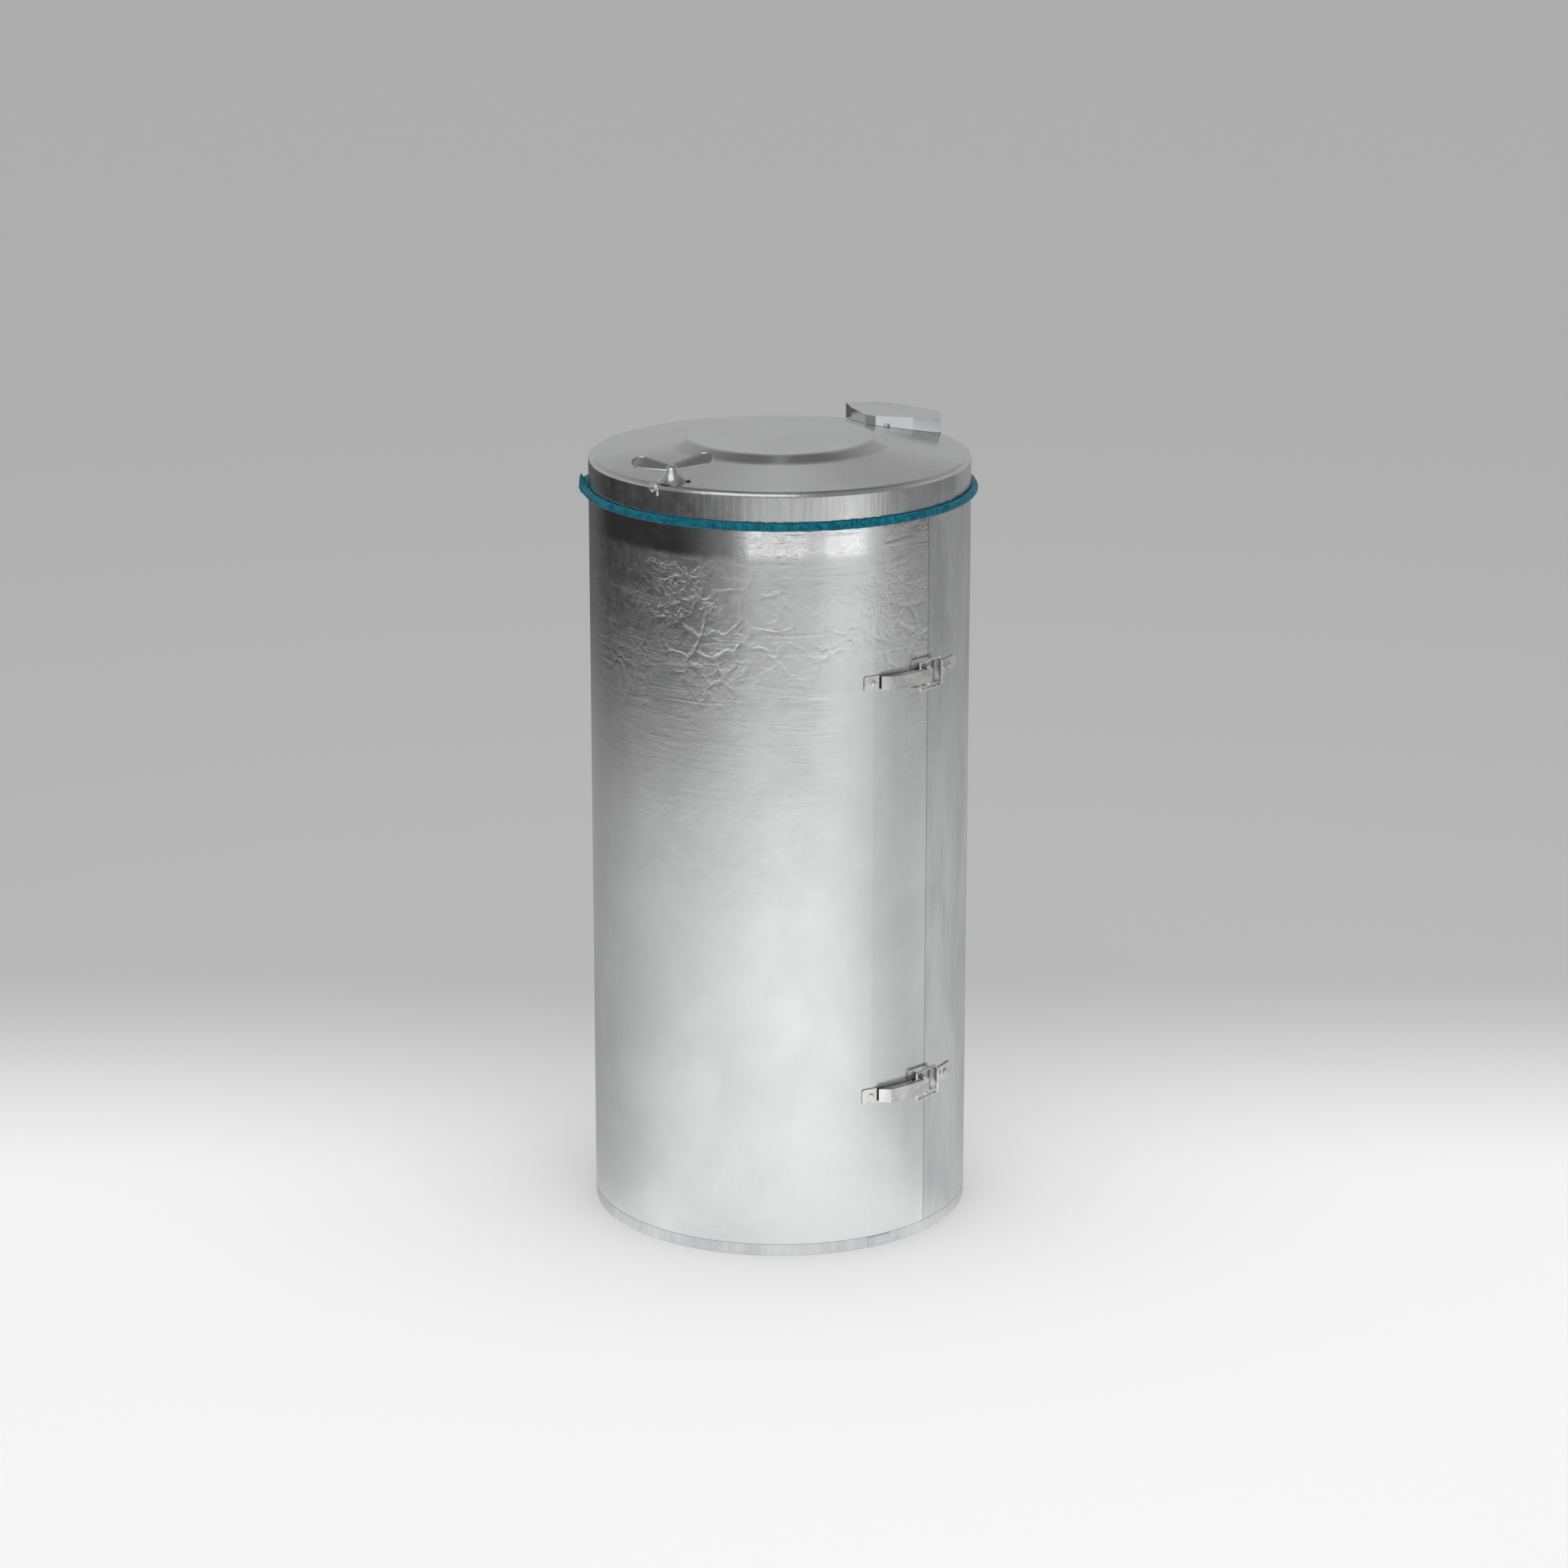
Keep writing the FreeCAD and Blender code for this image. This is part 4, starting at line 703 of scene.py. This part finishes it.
def towards(tree, vector):  # the parts of a vector to the camera's right and away from the camera
    turn = math.radians(camera["azimuth"])
    right = tree.add("ShaderNodeVectorMath", {0: vector, 1: (math.cos(turn), math.sin(turn), 0)},
                     operation="DOT_PRODUCT")
    back = tree.add("ShaderNodeVectorMath", {0: vector, 1: (-math.sin(turn), math.cos(turn), 0)},
                    operation="DOT_PRODUCT")
    return right.outputs["Value"], back.outputs["Value"]


def bearingOf(tree, right, back):  # degrees from the camera's side, positive to the right
    turn = tree.math("ARCTAN2", right, tree.math("MULTIPLY", back, -1.0))
    return tree.math("MULTIPLY", turn, 180 / math.pi)


def sector(tree, bearing, middle, half, soft):
    side = tree.math("ABSOLUTE", tree.math("SUBTRACT", bearing, middle))
    return tree.span(side, half, half + soft, 1.0, 0.0)


def mirroredTone(tree, bearing, away):
    tones = []
    for first, changes in (reflected["near"], reflected["far"]):
        tone = first
        for start, end, change in changes:
            tone = tree.math("ADD", tone, tree.span(bearing, start, end, 0.0, change))
        tones.append(tone)
    tone = tree.blend(tree.span(away, *reflected["farBand"]), *tones)
    tone = tree.blend(tree.span(away, *reflected["beyondBand"]), tone, reflected["beyond"])
    for middle, half, soft, start, full, end, gone, level in paintedReflectionPatches:
        reach = tree.math("MULTIPLY", tree.span(away, start, full), tree.span(away, end, gone, 1.0, 0.0))
        share = tree.math("MULTIPLY", sector(tree, bearing, middle, half, soft), reach)
        tone = tree.blend(share, tone, level)
    return tone


def makeFloor():
    bpy.ops.object.select_all(action="DESELECT")
    bpy.ops.mesh.primitive_plane_add(size=studio["floorSize"], location=(0, 0, studio["floorHeight"]))
    floor = placed(bpy.context.object)
    floor.name = "paleFloor"
    material, rawTree = newMaterial("paleFloor")
    tree = Tree(rawTree)
    place = tree.add("ShaderNodeTexCoord").outputs["Object"]
    away = tree.add("ShaderNodeVectorMath", {0: place}, operation="LENGTH").outputs["Value"]
    right, back = towards(tree, place)
    # painted light fall-off: the floor's colour darkens from near to far behind the can, standing in for the
    # light falling off
    share = tree.span(back, *studio["fade"])
    colour = tree.mix(share, (*studio["near"], 1), (*studio["far"], 1))
    matte = tree.add("ShaderNodeBsdfDiffuse", {"Color": colour})
    # painted reflections: for reflected rays the floor glows with these tones instead of showing its lit colour
    tone = mirroredTone(tree, bearingOf(tree, right, back), away)
    mirrored = tree.add("ShaderNodeEmission", {"Color": (1, 1, 1, 1), "Strength": tone})
    path = tree.add("ShaderNodeLightPath")
    either = tree.math("MAXIMUM", path.outputs["Is Glossy Ray"], path.outputs["Is Transmission Ray"])
    surface = tree.add("ShaderNodeMixShader", {0: either, 1: matte.outputs[0], 2: mirrored.outputs[0]})
    tree.add("ShaderNodeOutputMaterial", {"Surface": surface.outputs[0]})
    floor.data.materials.append(material)


sky = {  # what the steel mirrors above the floor: the backdrop, the dark ceiling and a card in front
    "low": 0.42, "lift": 0.12, "liftBand": (0.10, 0.38), "ceiling": -0.20, "ceilingBand": (0.45, 0.90),
    "side": -0.20, "sideBand": (0.0, 0.06), "sideAbove": (0.24, 0.32), "front": 0.24,
    "frontBand": (-0.30, 0.10), "card": (-22, 28, 12), "cardLow": (0.20, 0.35), "cardHigh": (0.85, 0.95),
    "cardTone": 1.0,
}


def makeWorld():
    world = bpy.data.worlds.new("paleStudio")
    world.use_nodes = True
    rawTree = world.node_tree
    rawTree.nodes.clear()
    tree = Tree(rawTree)
    direction = tree.add("ShaderNodeTexCoord").outputs["Generated"]
    up = tree.add("ShaderNodeSeparateXYZ", {0: direction}).outputs["Z"]
    right, back = towards(tree, direction)
    tone = tree.math("ADD", sky["low"], tree.span(up, *sky["liftBand"], 0.0, sky["lift"]))
    tone = tree.math("ADD", tone, tree.span(up, *sky["ceilingBand"], 0.0, sky["ceiling"]))
    edge = tree.span(tree.math("ABSOLUTE", right), *sky["sideBand"])
    edge = tree.math("MULTIPLY", edge, tree.span(up, *sky["sideAbove"]))
    tone = tree.sum(tone, edge, sky["side"])
    tone = tree.blend(tree.span(back, *sky["frontBand"], 1.0, 0.0), tone, sky["front"])
    bearing = bearingOf(tree, right, back)
    tall = tree.math("MULTIPLY", tree.span(up, *sky["cardLow"]), tree.span(up, *sky["cardHigh"], 1.0, 0.0))
    card = tree.math("MULTIPLY", sector(tree, bearing, *sky["card"]), tall)
    tone = tree.blend(card, tone, sky["cardTone"])
    seen = tree.add("ShaderNodeBackground", {"Color": (1, 1, 1, 1), "Strength": tone})
    light = tree.add("ShaderNodeBackground", {"Color": (1, 1, 1, 1), "Strength": studio["worldLight"]})
    path = tree.add("ShaderNodeLightPath")
    either = tree.math("MAXIMUM", path.outputs["Is Camera Ray"], path.outputs["Is Glossy Ray"])
    either = tree.math("MAXIMUM", either, path.outputs["Is Transmission Ray"])
    surface = tree.add("ShaderNodeMixShader", {0: either, 1: light.outputs[0], 2: seen.outputs[0]})
    tree.add("ShaderNodeOutputWorld", {"Surface": surface.outputs[0]})
    bpy.context.scene.world = world


def makeLamp(name, place, aim, size, power):
    lamp = bpy.data.lights.new(name, "AREA")
    lamp.shape = "SQUARE"
    lamp.size = size
    lamp.energy = power
    holder = bpy.data.objects.new(name, lamp)
    bpy.context.scene.collection.objects.link(holder)
    holder.location = place
    holder.rotation_euler = (Vector(aim) - Vector(place)).to_track_quat("-Z", "Y").to_euler()
    holder.visible_camera = False
    holder.visible_glossy = False


makeFloor()
makeWorld()
makeLamp("topSoftBox", studio["topPlace"], studio["topAim"], studio["topSize"], studio["topPower"])
bpy.context.scene.view_settings.view_transform = "Standard"
print("studio made")
